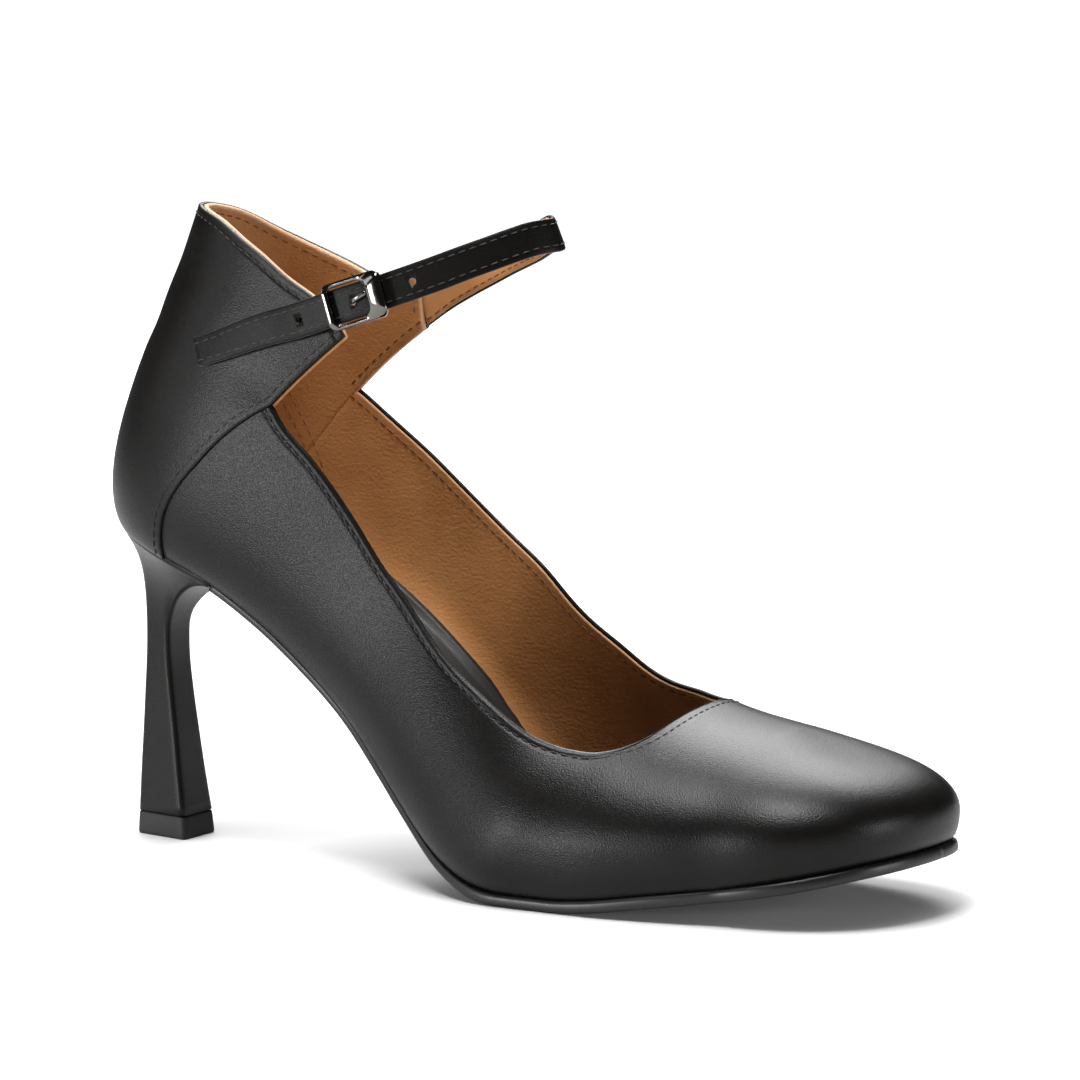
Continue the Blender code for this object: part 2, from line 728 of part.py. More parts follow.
def strap_row(name, turn):
    return float(ease(STRAP, STRAP_COLUMNS.index(name), turn))


def strap_stations():
    """Middle, width direction and width of the strap from the inner wing to the end of its tail."""
    tip = WING_TIP["inner"]
    high = on_last(1, COLLAR_EDGE[-2, 0]*tip, COLLAR_EDGE[-2, 2])
    low = on_last(1, tip, COLLAR_EDGE[-1, 2])
    face = outward(1, tip, (COLLAR_EDGE[-2, 2] + COLLAR_EDGE[-1, 2])/2)
    up = unit(high - low)
    ahead = np.cross(face, up)
    start = (high + low)/2 + face*(PANEL_STEP - WALL)/2 + ahead*JOINT_GAP
    middles, ups, wides = [start], [up], [np.linalg.norm(high - low)]
    for turn in STRAP_TURNS:
        c, s = math.cos(math.radians(turn)), math.sin(math.radians(turn))
        r = (abs(c)**LOOP_SQUARE + abs(s)**LOOP_SQUARE)**(-1/LOOP_SQUARE)
        tilt = STRAP_TILT*strap_row("tilt", turn)
        middles.append(np.array([LOOP_MID + LOOP_LONG*c*r, (LOOP_OUTER if s < 0 else LOOP_INNER)*s*r,
                                 STRAP_HEIGHT*strap_row("middle", turn)]))
        ups.append(np.array([-math.sin(tilt), 0, math.cos(tilt)]))
        wides.append(STRAP_WIDE*strap_row("wide", turn))
    for at, reach, wide, lift in TAIL:
        face = outward(-1, at, reach)
        height = PANEL_STEP + GAP + STRAP_THICK/2 + lift*(TAB_THICK + GAP)
        middles.append(on_last(-1, at, reach) + face*height)
        ups.append(unit(np.array([-math.sin(STRAP_TILT), 0, math.cos(STRAP_TILT)])
                        - face*np.dot(face, [-math.sin(STRAP_TILT), 0, math.cos(STRAP_TILT)])))
        wides.append(STRAP_WIDE*wide)
    return np.array(middles), np.array(ups), np.array(wides)


MIDDLES, UPS, WIDES = strap_stations()
RUN = np.concatenate([[0], np.cumsum(np.linalg.norm(np.diff(MIDDLES, axis=0), axis=1))])
SIDE_RUN = RUN[len(STRAP_TURNS)]


def read_run(rows, run):
    return np.array([np.interp(run, RUN, rows[:, k]) for k in range(3)])


def strap_at(ahead):
    """Middle, forward, up and outward directions and width at a distance ahead of the loop's outer side."""
    run = SIDE_RUN - ahead
    near = 0.001
    middle = read_run(MIDDLES, run)
    forward = unit(read_run(MIDDLES, run - near) - read_run(MIDDLES, run + near))
    up = unit(read_run(UPS, run))
    return middle, forward, up, unit(np.cross(forward, up)), np.interp(run, RUN, WIDES)


def ribbon(name, reaches, thick, wide, sink, material):
    """A flat strip along the strap between two distances, sunk below the strap's middle."""
    rings = []
    for ahead in reaches:
        middle, forward, up, out, full = strap_at(ahead)
        half_wide = (wide or full)/2
        centre = middle - out*sink
        rings.append([centre + up*half_wide*b + out*thick/2*c
                      for b, c in ((-1, -1), (-1, 1), (1, 1), (1, -1))])
    return loft(name, rings, material)


def build_strap(material):
    strap = ribbon("ankle_strap", [SIDE_RUN - run for run in RUN], STRAP_THICK, None, 0.0, material)
    for k in (-1, 0, 1):
        middle, forward, up, out, wide = strap_at(HOLE_AT + k*HOLE_STEP)
        rod = [middle - out*STRAP_THICK, middle + out*STRAP_THICK]
        cutter = tube("hole_cutter_%d" % (k + 2), rod, HOLE_WIDE/2, forward, None, CUTTERS)
        cutter.hide_render = True
        cutter.display_type = "WIRE"
        cut = strap.modifiers.new("hole_%d" % (k + 2), "BOOLEAN")
        cut.operation = "DIFFERENCE"
        cut.solver = "EXACT"
        cut.object = cutter
    return strap


def tube(name, path, radius, aside, material, group=None, sides=12):
    """A round rod along a path."""
    path = np.array(path)
    rings = []
    for k, place in enumerate(path):
        along = unit(path[min(k + 1, len(path) - 1)] - path[max(k - 1, 0)])
        first = unit(aside - along*np.dot(aside, along))
        second = np.cross(along, first)
        rings.append([place + radius*(first*math.cos(a) + second*math.sin(a))
                      for a in np.linspace(0, 2*math.pi, sides, endpoint=False)])
    net = Net()
    lines = [[net.point(p) for p in ring] for ring in rings]
    for low, high in zip(lines, lines[1:]):
        for k in range(sides):
            after = (k + 1) % sides
            net.face(low[k], low[after], high[after], high[k])
    net.face(*reversed(lines[0]))
    net.face(*lines[-1])
    return make(name, net.points, net.faces, material, group)


class BucklePlace:
    """Turns distances along, up and out of the strap's face at the buckle into points."""

    def __init__(self):
        self.middle, self.forward, _, self.out, _ = strap_at(HOLE_AT)
        self.up = np.cross(self.out, self.forward)

    def __call__(self, ahead, up, out):
        return self.middle + self.forward*ahead + self.up*up + self.out*(STRAP_THICK/2 + out)


def rounded_corners(left, right, low, high, round_left, round_right, steps=4):
    """A rectangle with round corners, and for each point how far it has gone from rail to bar."""
    corners = ((right, high, round_right, 0), (left, high, round_left, 1),
               (left, low, round_left, 2), (right, low, round_right, 3))
    points = []
    for x, y, r, quarter in corners:
        cx = x - r if x == right else x + r
        cy = y - r if y == high else y + r
        for k in range(steps):
            turn = math.pi/2*(quarter + k/(steps - 1))
            bar = k/(steps - 1) if quarter % 2 else 1 - k/(steps - 1)
            points.append((cx + r*math.cos(turn), cy + r*math.sin(turn), bar))
    return points


def build_frame(place, material):
    """The cast frame: a thin keeper bar behind, a thick bar ahead and two rails beside the strap."""
    left, right = FRAME_AHEAD - FRAME_LONG/2, FRAME_AHEAD + FRAME_LONG/2
    high = FRAME_HIGH/2
    outer = rounded_corners(left, right, -high, high, CORNER_ROUND, CORNER_ROUND)
    inner = rounded_corners(left + KEEPER_BAR, right - END_BAR, -high + FRAME_RAIL, high - FRAME_RAIL,
                            CORNER_ROUND/2, WINDOW_ROUND)
    net = Net()
    rings = []
    for (x, y, bar), (u, v, _) in zip(outer, inner):
        top = KEEPER_THICK if x < FRAME_AHEAD else END_THICK
        low = GAP if bar > 0.01 else -RAIL_DEPTH
        top = FRAME_RAIL + (GAP + top - FRAME_RAIL)*bar
        side = unit(np.array([u - x, v - y]))*CHAMFER
        line = [(x, y, low), (x, y, top - CHAMFER), (x + side[0], y + side[1], top),
                (u - side[0], v - side[1], top), (u, v, top - CHAMFER), (u, v, low)]
        rings.append([net.point(place(*p)) for p in line])
    for near, far in zip(rings, rings[1:] + rings[:1]):
        for k in range(len(near)):
            after = (k + 1) % len(near)
            net.face(far[k], far[after], near[after], near[k])
    return make("buckle_frame", net.points, net.faces, material)


def build_prong(place, material):
    start = FRAME_AHEAD + FRAME_LONG/2 - END_BAR - GAP
    path = [(start, 2*PRONG_ROUND, PRONG_HIGH), (start/2, PRONG_ROUND, PRONG_HIGH),
            (PRONG_ROUND*1.6, PRONG_ROUND*.4, PRONG_HIGH*.9), (PRONG_ROUND*.5, 0, PRONG_HIGH*.45),
            (0, 0, -STRAP_THICK*.2), (0, 0, -STRAP_THICK*.7)]
    return tube("buckle_prong", [place(*p) for p in path], PRONG_ROUND, place.up, material, sides=8)


def build_loop(material):
    sink = STRAP_THICK/2 + GAP + TAB_THICK/2
    reaches = np.linspace(TAB_AHEAD, TAB_AHEAD - TAB_LONG, 7)
    return ribbon("buckle_loop", reaches, TAB_THICK, TAB_WIDE, sink, material)


def main():
    leather = finish("black_leather", BLACK, 0.42)
    sock = finish("black_sock", BLACK, 0.6)
    edge = finish("black_sole", BLACK, 0.5)
    rubber = finish("black_rubber", BLACK, 0.7)
    strap_leather = finish("black_strap", BLACK, 0.42)
    nickel = finish("dark_nickel", NICKEL, 0.15, 1.0)
    build_upper(leather)
    build_outsole(edge)
    build_insole(sock)
    build_heel(leather)
    build_top_piece(rubber)
    build_strap(strap_leather)
    place = BucklePlace()
    build_frame(place, nickel)
    build_prong(place, nickel)
    build_loop(strap_leather)


main()
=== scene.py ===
"""Looks of the right ankle strap pump: leather, linings, seams, stitches, strap and buckle.

The last's form is worked out from the same sizes as the solids, so each layer fits the frame.
Distances along the last are counted from the back of the counter, in metres.
"""

import math

import bmesh
import bpy
import numpy as np
from mathutils import Matrix, Vector


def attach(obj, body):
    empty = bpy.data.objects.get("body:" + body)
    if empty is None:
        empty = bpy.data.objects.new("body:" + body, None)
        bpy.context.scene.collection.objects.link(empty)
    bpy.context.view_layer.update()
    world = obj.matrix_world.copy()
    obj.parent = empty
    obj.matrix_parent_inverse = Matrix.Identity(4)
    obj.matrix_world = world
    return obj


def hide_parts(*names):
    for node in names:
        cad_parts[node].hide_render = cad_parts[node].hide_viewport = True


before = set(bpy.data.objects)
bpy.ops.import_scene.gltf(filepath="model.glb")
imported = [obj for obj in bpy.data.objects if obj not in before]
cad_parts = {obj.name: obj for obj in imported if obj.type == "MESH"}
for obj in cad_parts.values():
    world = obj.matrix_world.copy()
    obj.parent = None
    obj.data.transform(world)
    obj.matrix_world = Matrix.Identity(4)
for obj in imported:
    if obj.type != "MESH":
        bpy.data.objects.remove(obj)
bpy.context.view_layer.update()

# Last: the form that the upper is pulled over
LENGTH = 0.217
BALL_WIDTH = 0.076
SEAT_WIDTH = 0.046
SEAT_RISE = 0.0755
TOE_SPRING = 0.013
ARCH_LIFT = 0.005
INSTEP = 0.060
COLLAR = 0.084
TOE_BOX = 0.026
TOP_FALL = 0.0080
BULGE = 0.0065
BELLY = 0.022
CONE = 0.022
RIDGE = 0.010
HEEL_REACH = 0.0286
TOE_DRIFT = 0.006

# Leather and sole
WALL = 0.0020
PANEL_STEP = 0.0008
SOLE = 0.0030
SHANK_SOLE = 0.0022
WELT = 0.0008
SHANK_INSET = 0.0005
SOCK = 0.0022
ARCH_PAD = 0.004
GAP = 0.0003

# Heel
TIP_LONG = 0.0168
TIP_WIDE = 0.0137
TIP_THICK = 0.0055
TIP_BEHIND = 0.0096
STEM_TOP = 0.050
BREAST = 0.0361
HEEL_LIP = 0.0012
HEEL_INSET = 0.0003

# Strap
STRAP_WIDE = 0.0083
STRAP_THICK = 0.0018
STRAP_HEIGHT = 0.1350
STRAP_TILT = math.radians(24)
LOOP_MID = 0.075
LOOP_LONG = 0.0433
LOOP_OUTER = 0.0256
LOOP_INNER = 0.0236
LOOP_SQUARE = 1.6
JOINT_GAP = 0.0005
HOLE_WIDE = 0.0018
HOLE_STEP = 0.0152
HOLE_AT = 0.0045

# Buckle
FRAME_LONG = 0.0158
FRAME_HIGH = 0.0113
FRAME_RAIL = 0.0012
FRAME_AHEAD = 0.0010
KEEPER_BAR = 0.0017
KEEPER_THICK = 0.0016
END_BAR = 0.0042
END_THICK = 0.0026
RAIL_DEPTH = 0.0009
CORNER_ROUND = 0.0020
WINDOW_ROUND = 0.0030
PRONG_ROUND = 0.00055
PRONG_HIGH = 0.0011
TAB_THICK = 0.0010
TAB_WIDE = 0.0066
TAB_LONG = 0.0200
TAB_AHEAD = 0.0030

# Where the last's parts change, as shares of the length
HEEL_AT = 0.130
TOE_AT = 0.830
SEAM_FOOT = 0.115
LEAN = math.radians(37)
HEEL_SQUARE = 2.1
TOE_SQUARE = 2.3
BACK_BULGE = 1.10
BACK_BELLY = 1.14
BACK_TOP = 1.12
BACK_HIGH = 0.976
TIP_BULGE = 0.25
TIP_BELLY = 0.36
HEEL_BOW = 0.40
FLARE_CLIMB = 0.72
FLARE_UNDER = 0.30
FLARE_TIGHT = 0.24

# Bottom line: shares of the length, the seat's rise, the toe spring and the arch lift
BOTTOM = np.array([
    # along, seat, spring, arch
    (0.000, 1.000, 0.00, 0.00),
    (0.060, 0.960, 0.00, 0.00),
    (0.115, 0.905, 0.00, 0.00),
    (0.166, 0.842, 0.00, 0.00),
    (0.220, 0.746, 0.00, 0.25),
    (0.285, 0.599, 0.00, 0.75),
    (0.345, 0.453, 0.00, 1.00),
    (0.400, 0.302, 0.00, 0.95),
    (0.450, 0.167, 0.00, 0.65),
    (0.500, 0.064, 0.00, 0.28),
    (0.550, 0.010, 0.00, 0.05),
    (0.590, 0.000, 0.00, 0.00),
    (0.640, 0.000, 0.00, 0.00),
    (0.690, 0.000, 0.07, 0.00),
    (0.740, 0.000, 0.20, 0.00),
    (0.830, 0.000, 0.43, 0.00),
    (0.910, 0.000, 0.68, 0.00),
    (0.970, 0.000, 0.90, 0.00),
    (1.000, 0.000, 1.00, 0.00)])

# Sections of the last: half widths, side bulges, top line and how full each half is
SECTION_COLUMNS = ("along seat outer inner bulge_outer bulge_inner belly cone ridge "
                   "collar instep side top drop lean").split()
SECTIONS = np.array([
    (0.130, .50, .000, .000, 0.80, 0.80, 1.00, 1.00, 0.00, 1.00, 0.000, .35, .20, .30, 0.500),
    (0.230, .46, .004, .000, 0.90, 1.00, 0.90, 0.95, 0.10, 0.75, 0.280, .38, .25, .25, 0.835),
    (0.332, .36, .065, .012, 1.00, 1.40, 0.78, 0.75, 0.30, 0.35, 0.710, .42, .35, .15, 0.945),
    (0.428, .15, .278, .186, 0.90, 1.20, 0.68, 0.30, 0.60, 0.00, 1.000, .48, .50, .05, 0.920),
    (0.498, .03, .430, .357, 0.70, 0.80, 0.60, 0.10, 0.80, 0.00, 0.920, .50, .60, .00, 0.760),
    (0.576, .00, .500, .474, 0.50, 0.50, 0.55, 0.00, 1.00, 0.00, 0.820, .50, .64, .00, 0.500),
    (0.668, .00, .500, .500, 0.35, 0.35, 0.50, 0.00, 1.10, 0.00, 0.710, .50, .64, .00, 0.190),
    (0.760, .00, .474, .480, 0.30, 0.30, 0.46, 0.00, 0.95, 0.00, 0.593, .50, .62, .00, 0.000),
    (0.830, .00, .428, .454, 0.30, 0.30, 0.43, 0.00, 0.85, 0.00, 0.517, .50, .62, .00, 0.000)])

# Top edge of quarters and vamp: foot station, then station and share of the rib at the edge
TOPLINE_COLUMNS = "foot outer_at outer_up inner_at inner_up".split()
TOPLINE = np.array([
    (0.115, 0.1690, 0.597, 0.1480, 0.531),
    (0.150, 0.1860, 0.566, 0.1780, 0.517),
    (0.190, 0.2140, 0.549, 0.2080, 0.512),
    (0.250, 0.2620, 0.519, 0.2620, 0.518),
    (0.310, 0.3140, 0.495, 0.3160, 0.552),
    (0.370, 0.3720, 0.496, 0.3720, 0.630),
    (0.430, 0.4300, 0.498, 0.4310, 0.682),
    (0.490, 0.4900, 0.499, 0.4900, 0.706),
    (0.550, 0.5530, 0.493, 0.5530, 0.722),
    (0.600, 0.6070, 0.485, 0.6070, 0.731),
    (0.640, 0.6530, 0.498, 0.6500, 0.742),
    (0.670, 0.6830, 0.543, 0.6800, 0.768),
    (0.690, 0.6990, 0.600, 0.6960, 0.810),
    (0.705, 0.7070, 0.665, 0.7040, 0.855),
    (0.720, 0.7105, 0.775, 0.7080, 0.900),
    (0.735, 0.7110, 0.890, 0.7095, 0.950),
    (0.750, 0.7100, 1.000, 0.7100, 1.000)])

# Collar of the rear panel, from the back line out to the tip of each wing
COLLAR_COLUMNS = "out outer inner".split()
COLLAR_EDGE = np.array([
    (0.00, 0.965, 0.965),
    (0.20, 0.980, 0.945),
    (0.40, 0.988, 0.905),
    (0.60, 0.957, 0.877),
    (0.75, 0.927, 0.867),
    (0.90, 0.922, 0.950),
    (1.00, 0.892, 0.829)])
WING_TIP = {"outer": 0.193, "inner": 0.183}
BACK_LEVEL = 0.57

# Stem of the heel: shares of its height, of half the tip's length and of half its width
STEM = np.array([
    (0.00, 0.964, 0.930, 0.61, 0.965),
    (0.22, 0.893, 0.760, 0.60, 0.875),
    (0.44, 0.810, 0.607, 0.585, 0.80),
    (0.66, 0.738, 0.452, 0.57, 0.75),
    (0.88, 0.667, 0.333, 0.57, 0.73),
    (1.00, 0.650, 0.320, 0.585, 0.745)])
TIP_BACK = 0.63

# Strap round the ankle: turn from straight ahead, height of its middle, width and tilt
STRAP_COLUMNS = "turn middle wide tilt".split()
STRAP = np.array([
    (-90, 1.000, 1.00, 1.00),
    (-60, 1.053, 1.00, 1.00),
    (-32, 1.097, 0.98, 1.00),
    (-8, 1.122, 0.98, 1.00),
    (17, 1.124, 0.99, 0.95),
    (43, 1.096, 1.06, 0.85),
    (69, 1.058, 1.24, 0.65),
    (90, 1.010, 1.48, 0.35),
    (97, 0.987, 1.58, 0.20)])
STRAP_TURNS = [90, 81, 72, 62, 52, 43, 34, 26, 19, 12, 6, 0, -6, -13, -22, -32, -43, -54, -65, -77, -90]

# Strap's tail on the outer wing: its middle on the last, width, and how far the buckle's tab lifts it
TAIL = np.array([
    (0.1652, 0.844, 1.02, 1.0),
    (0.1511, 0.783, 0.99, 1.0),
    (0.1370, 0.726, 0.95, 0.5),
    (0.1233, 0.672, 0.90, 0.0),
    (0.1100, 0.624, 0.86, 0.0)])

RIB_POINTS = 81
SEAM_RISE = 0.2
SEAM_BEND = 1.6


def ease(rows, column, share):
    """Read a table's column at a share, along a smooth curve that never overshoots."""
    xs, ys = rows[:, 0], rows[:, column]
    share = np.asarray(share, float)
    step = np.diff(xs)
    rise = np.diff(ys)/step
    slope = np.zeros_like(ys)
    mean = (rise[:-1]*step[1:] + rise[1:]*step[:-1])/(step[1:] + step[:-1])
    least = 3*np.minimum(np.abs(rise[:-1]), np.abs(rise[1:]))
    slope[1:-1] = np.where(rise[:-1]*rise[1:] > 0, np.sign(mean)*np.minimum(np.abs(mean), least), 0)
    slope[0], slope[-1] = rise[0], rise[-1]
    i = np.clip(np.searchsorted(xs, share, side="right") - 1, 0, len(xs) - 2)
    s = (share - xs[i])/step[i]
    return (ys[i]*(2*s**3 - 3*s**2 + 1) + step[i]*slope[i]*(s**3 - 2*s**2 + s)
            + ys[i + 1]*(3*s**2 - 2*s**3) + step[i]*slope[i + 1]*(s**3 - s**2))


def section(name, share):
    return float(ease(SECTIONS, SECTION_COLUMNS.index(name), share))


def bottom(share):
    """Height of the sole's upper face on the middle line."""
    return SOLE + SEAT_RISE*ease(BOTTOM, 1, share) + TOE_SPRING*ease(BOTTOM, 2, share)


def arch(share):
    return float(ease(BOTTOM, 3, share))


def lean(share):
    """How far a section leans forward, nearly square to the falling shank."""
    return LEAN*section("lean", share)


def upward(share):
    """The direction in which a station's rib rises."""
    tilt = lean(max(share, HEEL_AT)) if share < TOE_AT else 0.0
    return np.array([math.sin(tilt), 0, math.cos(tilt)])


def sole_up(share):
    """Square to the sole's upper face."""
    near = 0.004
    slope = float(bottom(share + near) - bottom(share - near))/(2*near*LENGTH)
    return np.array([-slope, 0, 1])/math.hypot(slope, 1)


def bezier(points, count):
    t = np.linspace(0, 1, count)[:, None]
    a, b, c, d = [np.array(p, float) for p in points]
    return a*(1 - t)**3 + 3*b*t*(1 - t)**2 + 3*c*t*t*(1 - t) + d*t**3


def evenly(line, count):
    """The same line with points at even steps along it."""
    run = np.concatenate([[0], np.cumsum(np.linalg.norm(np.diff(line, axis=0), axis=1))])
    reach = np.linspace(0, run[-1], count)
    return np.stack([np.interp(reach, run, line[:, k]) for k in range(line.shape[1])], -1)


def rib(foot, bulge, belly, out, high, side, top, drop, lift=0.0):
    """Half a section as out and up: feather edge, belly, then over to the top."""
    wide = foot + bulge
    rise = high - belly
    low = bezier([(foot, lift), (foot + .55*bulge, lift + .12*(belly - lift)),
                  (wide, lift + .45*(belly - lift)), (wide, belly)], 9)
    over = bezier([(wide, belly), (wide, belly + side*rise),
                   (out + top*(wide - out), high - drop*rise), (out, high)], 33)
    return evenly(np.vstack([low, over[1:]]), RIB_POINTS)


def half(side):
    return "outer" if side < 0 else "inner"


def foot_width(side, share):
    return SEAT_WIDTH*section("seat", share) + BALL_WIDTH*section(half(side), share)


def side_rib(side, share):
    return rib(foot=foot_width(side, share),
               bulge=BULGE*section("bulge_" + half(side), share),
               belly=BELLY*section("belly", share),
               out=CONE*section("cone", share) + side*RIDGE*section("ridge", share),
               high=COLLAR*section("collar", share) + INSTEP*section("instep", share),
               side=section("side", share), top=section("top", share), drop=section("drop", share),
               lift=ARCH_LIFT*arch(share) if side > 0 else 0.0)


def round_end(share, square):
    """How far aside and how far to the end a rounded end has gone at a share of its turn."""
    turn = share*math.pi/2
    c, s = abs(math.cos(turn)), abs(math.sin(turn))
    r = (c**square + s**square)**(-1/square)
    return c*r, s*r


def heel_column(side, share):
    aside, behind = round_end(1 - share/HEEL_AT, HEEL_SQUARE)
    up = upward(HEEL_AT)
    flank = side_rib(side, HEEL_AT)
    back = rib(foot=HEEL_REACH, bulge=BACK_BULGE*BULGE, belly=BACK_BELLY*BELLY, out=BACK_TOP*HEEL_REACH,
               high=BACK_HIGH*COLLAR, side=section("side", HEEL_AT), top=0, drop=section("drop", HEEL_AT))
    high = flank[:, 1]*(1 - behind) + back[:, 1]*behind
    x = HEEL_AT*LENGTH - back[:, 0]*behind*up[2] + high*up[0]
    z = bottom(HEEL_AT) + back[:, 0]*behind*up[0] + high*up[2]
    fade = (1 - np.linspace(0, 1, RIB_POINTS))**2
    z += (bottom(max(x[0], 0)/LENGTH) - z[0])*fade
    return np.stack([x, side*flank[:, 0]*aside, z], -1)


def toe_column(side, share):
    aside, ahead = round_end((share - TOE_AT)/(1 - TOE_AT), TOE_SQUARE)
    flank = side_rib(side, TOE_AT)
    tip = rib(foot=LENGTH*(1 - TOE_AT), bulge=TIP_BULGE*BULGE, belly=TIP_BELLY*BELLY, out=0, high=TOE_BOX,
              side=section("side", TOE_AT), top=section("top", TOE_AT), drop=0)
    q = np.linspace(0, 1, RIB_POINTS)
    mid = RIDGE*section("ridge", TOE_AT)*q + TOE_DRIFT*(1 - q)
    x = TOE_AT*LENGTH + tip[:, 0]*ahead
    y = mid*(1 - aside) + side*flank[:, 0]*aside
    z = bottom(x[0]/LENGTH)*(1 - q) + bottom(TOE_AT)*q + flank[:, 1]*(1 - ahead) + tip[:, 1]*ahead
    z += (flank[-1, 1] - tip[-1, 1])*ahead*q**3
    z -= TOP_FALL*tip[:, 0]/tip[0, 0]*ahead*q**2
    return np.stack([x, y, z], -1)


COLUMN_STORE = {}


def column(side, share):
    """The last's line from the feather edge to the top at one station."""
    key = (side, round(float(share), 6))
    if key not in COLUMN_STORE:
        if share < HEEL_AT:
            line = heel_column(side, share)
        elif share > TOE_AT:
            line = toe_column(side, share)
        else:
            up = upward(share)
            flat = side_rib(side, share)
            line = np.stack([share*LENGTH + flat[:, 1]*up[0], side*flat[:, 0],
                             bottom(share) + flat[:, 1]*up[2]], -1)
        COLUMN_STORE[key] = line
    return COLUMN_STORE[key]


def on_last(side, share, reach):
    """A point of the last: a station, and a share of its rib from the feather edge up."""
    line = column(side, share)
    place = np.clip(reach, 0, 1)*(RIB_POINTS - 1)
    low = min(int(place), RIB_POINTS - 2)
    return line[low] + (line[low + 1] - line[low])*(place - low)


def sole_point(side, share, inset, lift=0.0):
    """A point of the sole's upper face, inset from the feather edge and lifted off the face."""
    foot = column(side, share)[0]
    if share < HEEL_AT:
        aside, end = round_end(1 - share/HEEL_AT, HEEL_SQUARE)
        x, y = foot[0] + inset*end, foot[1] - side*inset*aside
    elif share > TOE_AT:
        aside, end = round_end((share - TOE_AT)/(1 - TOE_AT), TOE_SQUARE)
        x, y = foot[0] - inset*end, foot[1] - side*inset*aside
    else:
        return across(share, foot[1] - side*inset) + lift*sole_up(share)
    return np.array([x, y, bottom(x/LENGTH)]) + lift*sole_up(x/LENGTH)


def across(share, y):
    """A point of the sole's upper face at a station; the inner side is lifted at the arch."""
    inner = foot_width(1, share)
    lift = ARCH_LIFT*arch(share)*(max(y, 0)/inner)**2
    return np.array([share*LENGTH, y, float(bottom(share))]) + lift*upward(share)


def topline(name, foot):
    return float(ease(TOPLINE, TOPLINE_COLUMNS.index(name), foot))


def outward(side, share, reach):
    """The last's outward direction at a station and a share of its rib."""
    near = 0.004
    along = on_last(side, share + near, reach) - on_last(side, share - near, reach)
    up = on_last(side, share, reach + near) - on_last(side, share, reach - near)
    across_both = np.cross(along, up)*-side
    return across_both/np.linalg.norm(across_both)


def unit(v):
    return v/np.linalg.norm(v)


def strap_row(name, turn):
    return float(ease(STRAP, STRAP_COLUMNS.index(name), turn))


def strap_stations():
    """Middle, width direction and width of the strap from the inner wing to the end of its tail."""
    tip = WING_TIP["inner"]
    high = on_last(1, COLLAR_EDGE[-2, 0]*tip, COLLAR_EDGE[-2, 2])
    low = on_last(1, tip, COLLAR_EDGE[-1, 2])
    face = outward(1, tip, (COLLAR_EDGE[-2, 2] + COLLAR_EDGE[-1, 2])/2)
    up = unit(high - low)
    ahead = np.cross(face, up)
    start = (high + low)/2 + face*(PANEL_STEP - WALL)/2 + ahead*JOINT_GAP
    middles, ups, wides = [start], [up], [np.linalg.norm(high - low)]
    for turn in STRAP_TURNS:
        c, s = math.cos(math.radians(turn)), math.sin(math.radians(turn))
        r = (abs(c)**LOOP_SQUARE + abs(s)**LOOP_SQUARE)**(-1/LOOP_SQUARE)
        tilt = STRAP_TILT*strap_row("tilt", turn)
        middles.append(np.array([LOOP_MID + LOOP_LONG*c*r, (LOOP_OUTER if s < 0 else LOOP_INNER)*s*r,
                                 STRAP_HEIGHT*strap_row("middle", turn)]))
        ups.append(np.array([-math.sin(tilt), 0, math.cos(tilt)]))
        wides.append(STRAP_WIDE*strap_row("wide", turn))
    for at, reach, wide, lift in TAIL:
        face = outward(-1, at, reach)
        height = PANEL_STEP + GAP + STRAP_THICK/2 + lift*(TAB_THICK + GAP)
        middles.append(on_last(-1, at, reach) + face*height)
        ups.append(unit(np.array([-math.sin(STRAP_TILT), 0, math.cos(STRAP_TILT)])
                        - face*np.dot(face, [-math.sin(STRAP_TILT), 0, math.cos(STRAP_TILT)])))
        wides.append(STRAP_WIDE*wide)
    return np.array(middles), np.array(ups), np.array(wides)


MIDDLES, UPS, WIDES = strap_stations()
RUN = np.concatenate([[0], np.cumsum(np.linalg.norm(np.diff(MIDDLES, axis=0), axis=1))])
SIDE_RUN = RUN[len(STRAP_TURNS)]


def read_run(rows, run):
    return np.array([np.interp(run, RUN, rows[:, k]) for k in range(3)])


def strap_at(ahead):
    """Middle, forward, up and outward directions and width at a distance ahead of the loop's outer side."""
    run = SIDE_RUN - ahead
    near = 0.001
    middle = read_run(MIDDLES, run)
    forward = unit(read_run(MIDDLES, run - near) - read_run(MIDDLES, run + near))
    up = unit(read_run(UPS, run))
    return middle, forward, up, unit(np.cross(forward, up)), np.interp(run, RUN, WIDES)


def forefoot(share):
    """0 in the shank, 1 from the ball forward."""
    s = min(max((share - .44)/(.56 - .44), 0), 1)
    return s*s*(3 - 2*s)


class BucklePlace:
    """Turns distances along, up and out of the strap's face at the buckle into points."""

    def __init__(self):
        self.middle, self.forward, _, self.out, _ = strap_at(HOLE_AT)
        self.up = np.cross(self.out, self.forward)

    def __call__(self, ahead, up, out):
        return self.middle + self.forward*ahead + self.up*up + self.out*(STRAP_THICK/2 + out)


# Layers of the upper, rim and seams
LEATHER = 0.0011
LINING = 0.0006
LINING_DOWN = 0.0009
PANEL_THICK = 0.0008
EDGE_STITCH = 0.0021
SEAM_STITCH = 0.0017
STITCH_PITCH = 0.0026
STITCH_LONG = 0.0019
STITCH_ABOVE = 0.00006
THREAD = 0.00032
THREAD_HEAVY = 0.0004
GROOVE_DEEP = 0.00016
GROOVE_WIDE = 0.0004
FACE_THICK = 0.00115
FACE_LINING = 0.00068
FACE_TURN = 0.0004
STRAP_STITCH = 0.0015
SOCK_TURN = 0.0070
LAST_SMOOTH = 7
JOINT_AT = 0.100
JOINT_UP = 0.417
JOINT_SLANT = 0.20
EDGE_ROWS = np.array([.0062, .0048, .0037, .0030, .0026, .0023, .0020,
                      .0017, .0014, .0010, .0006, .0003, 0])

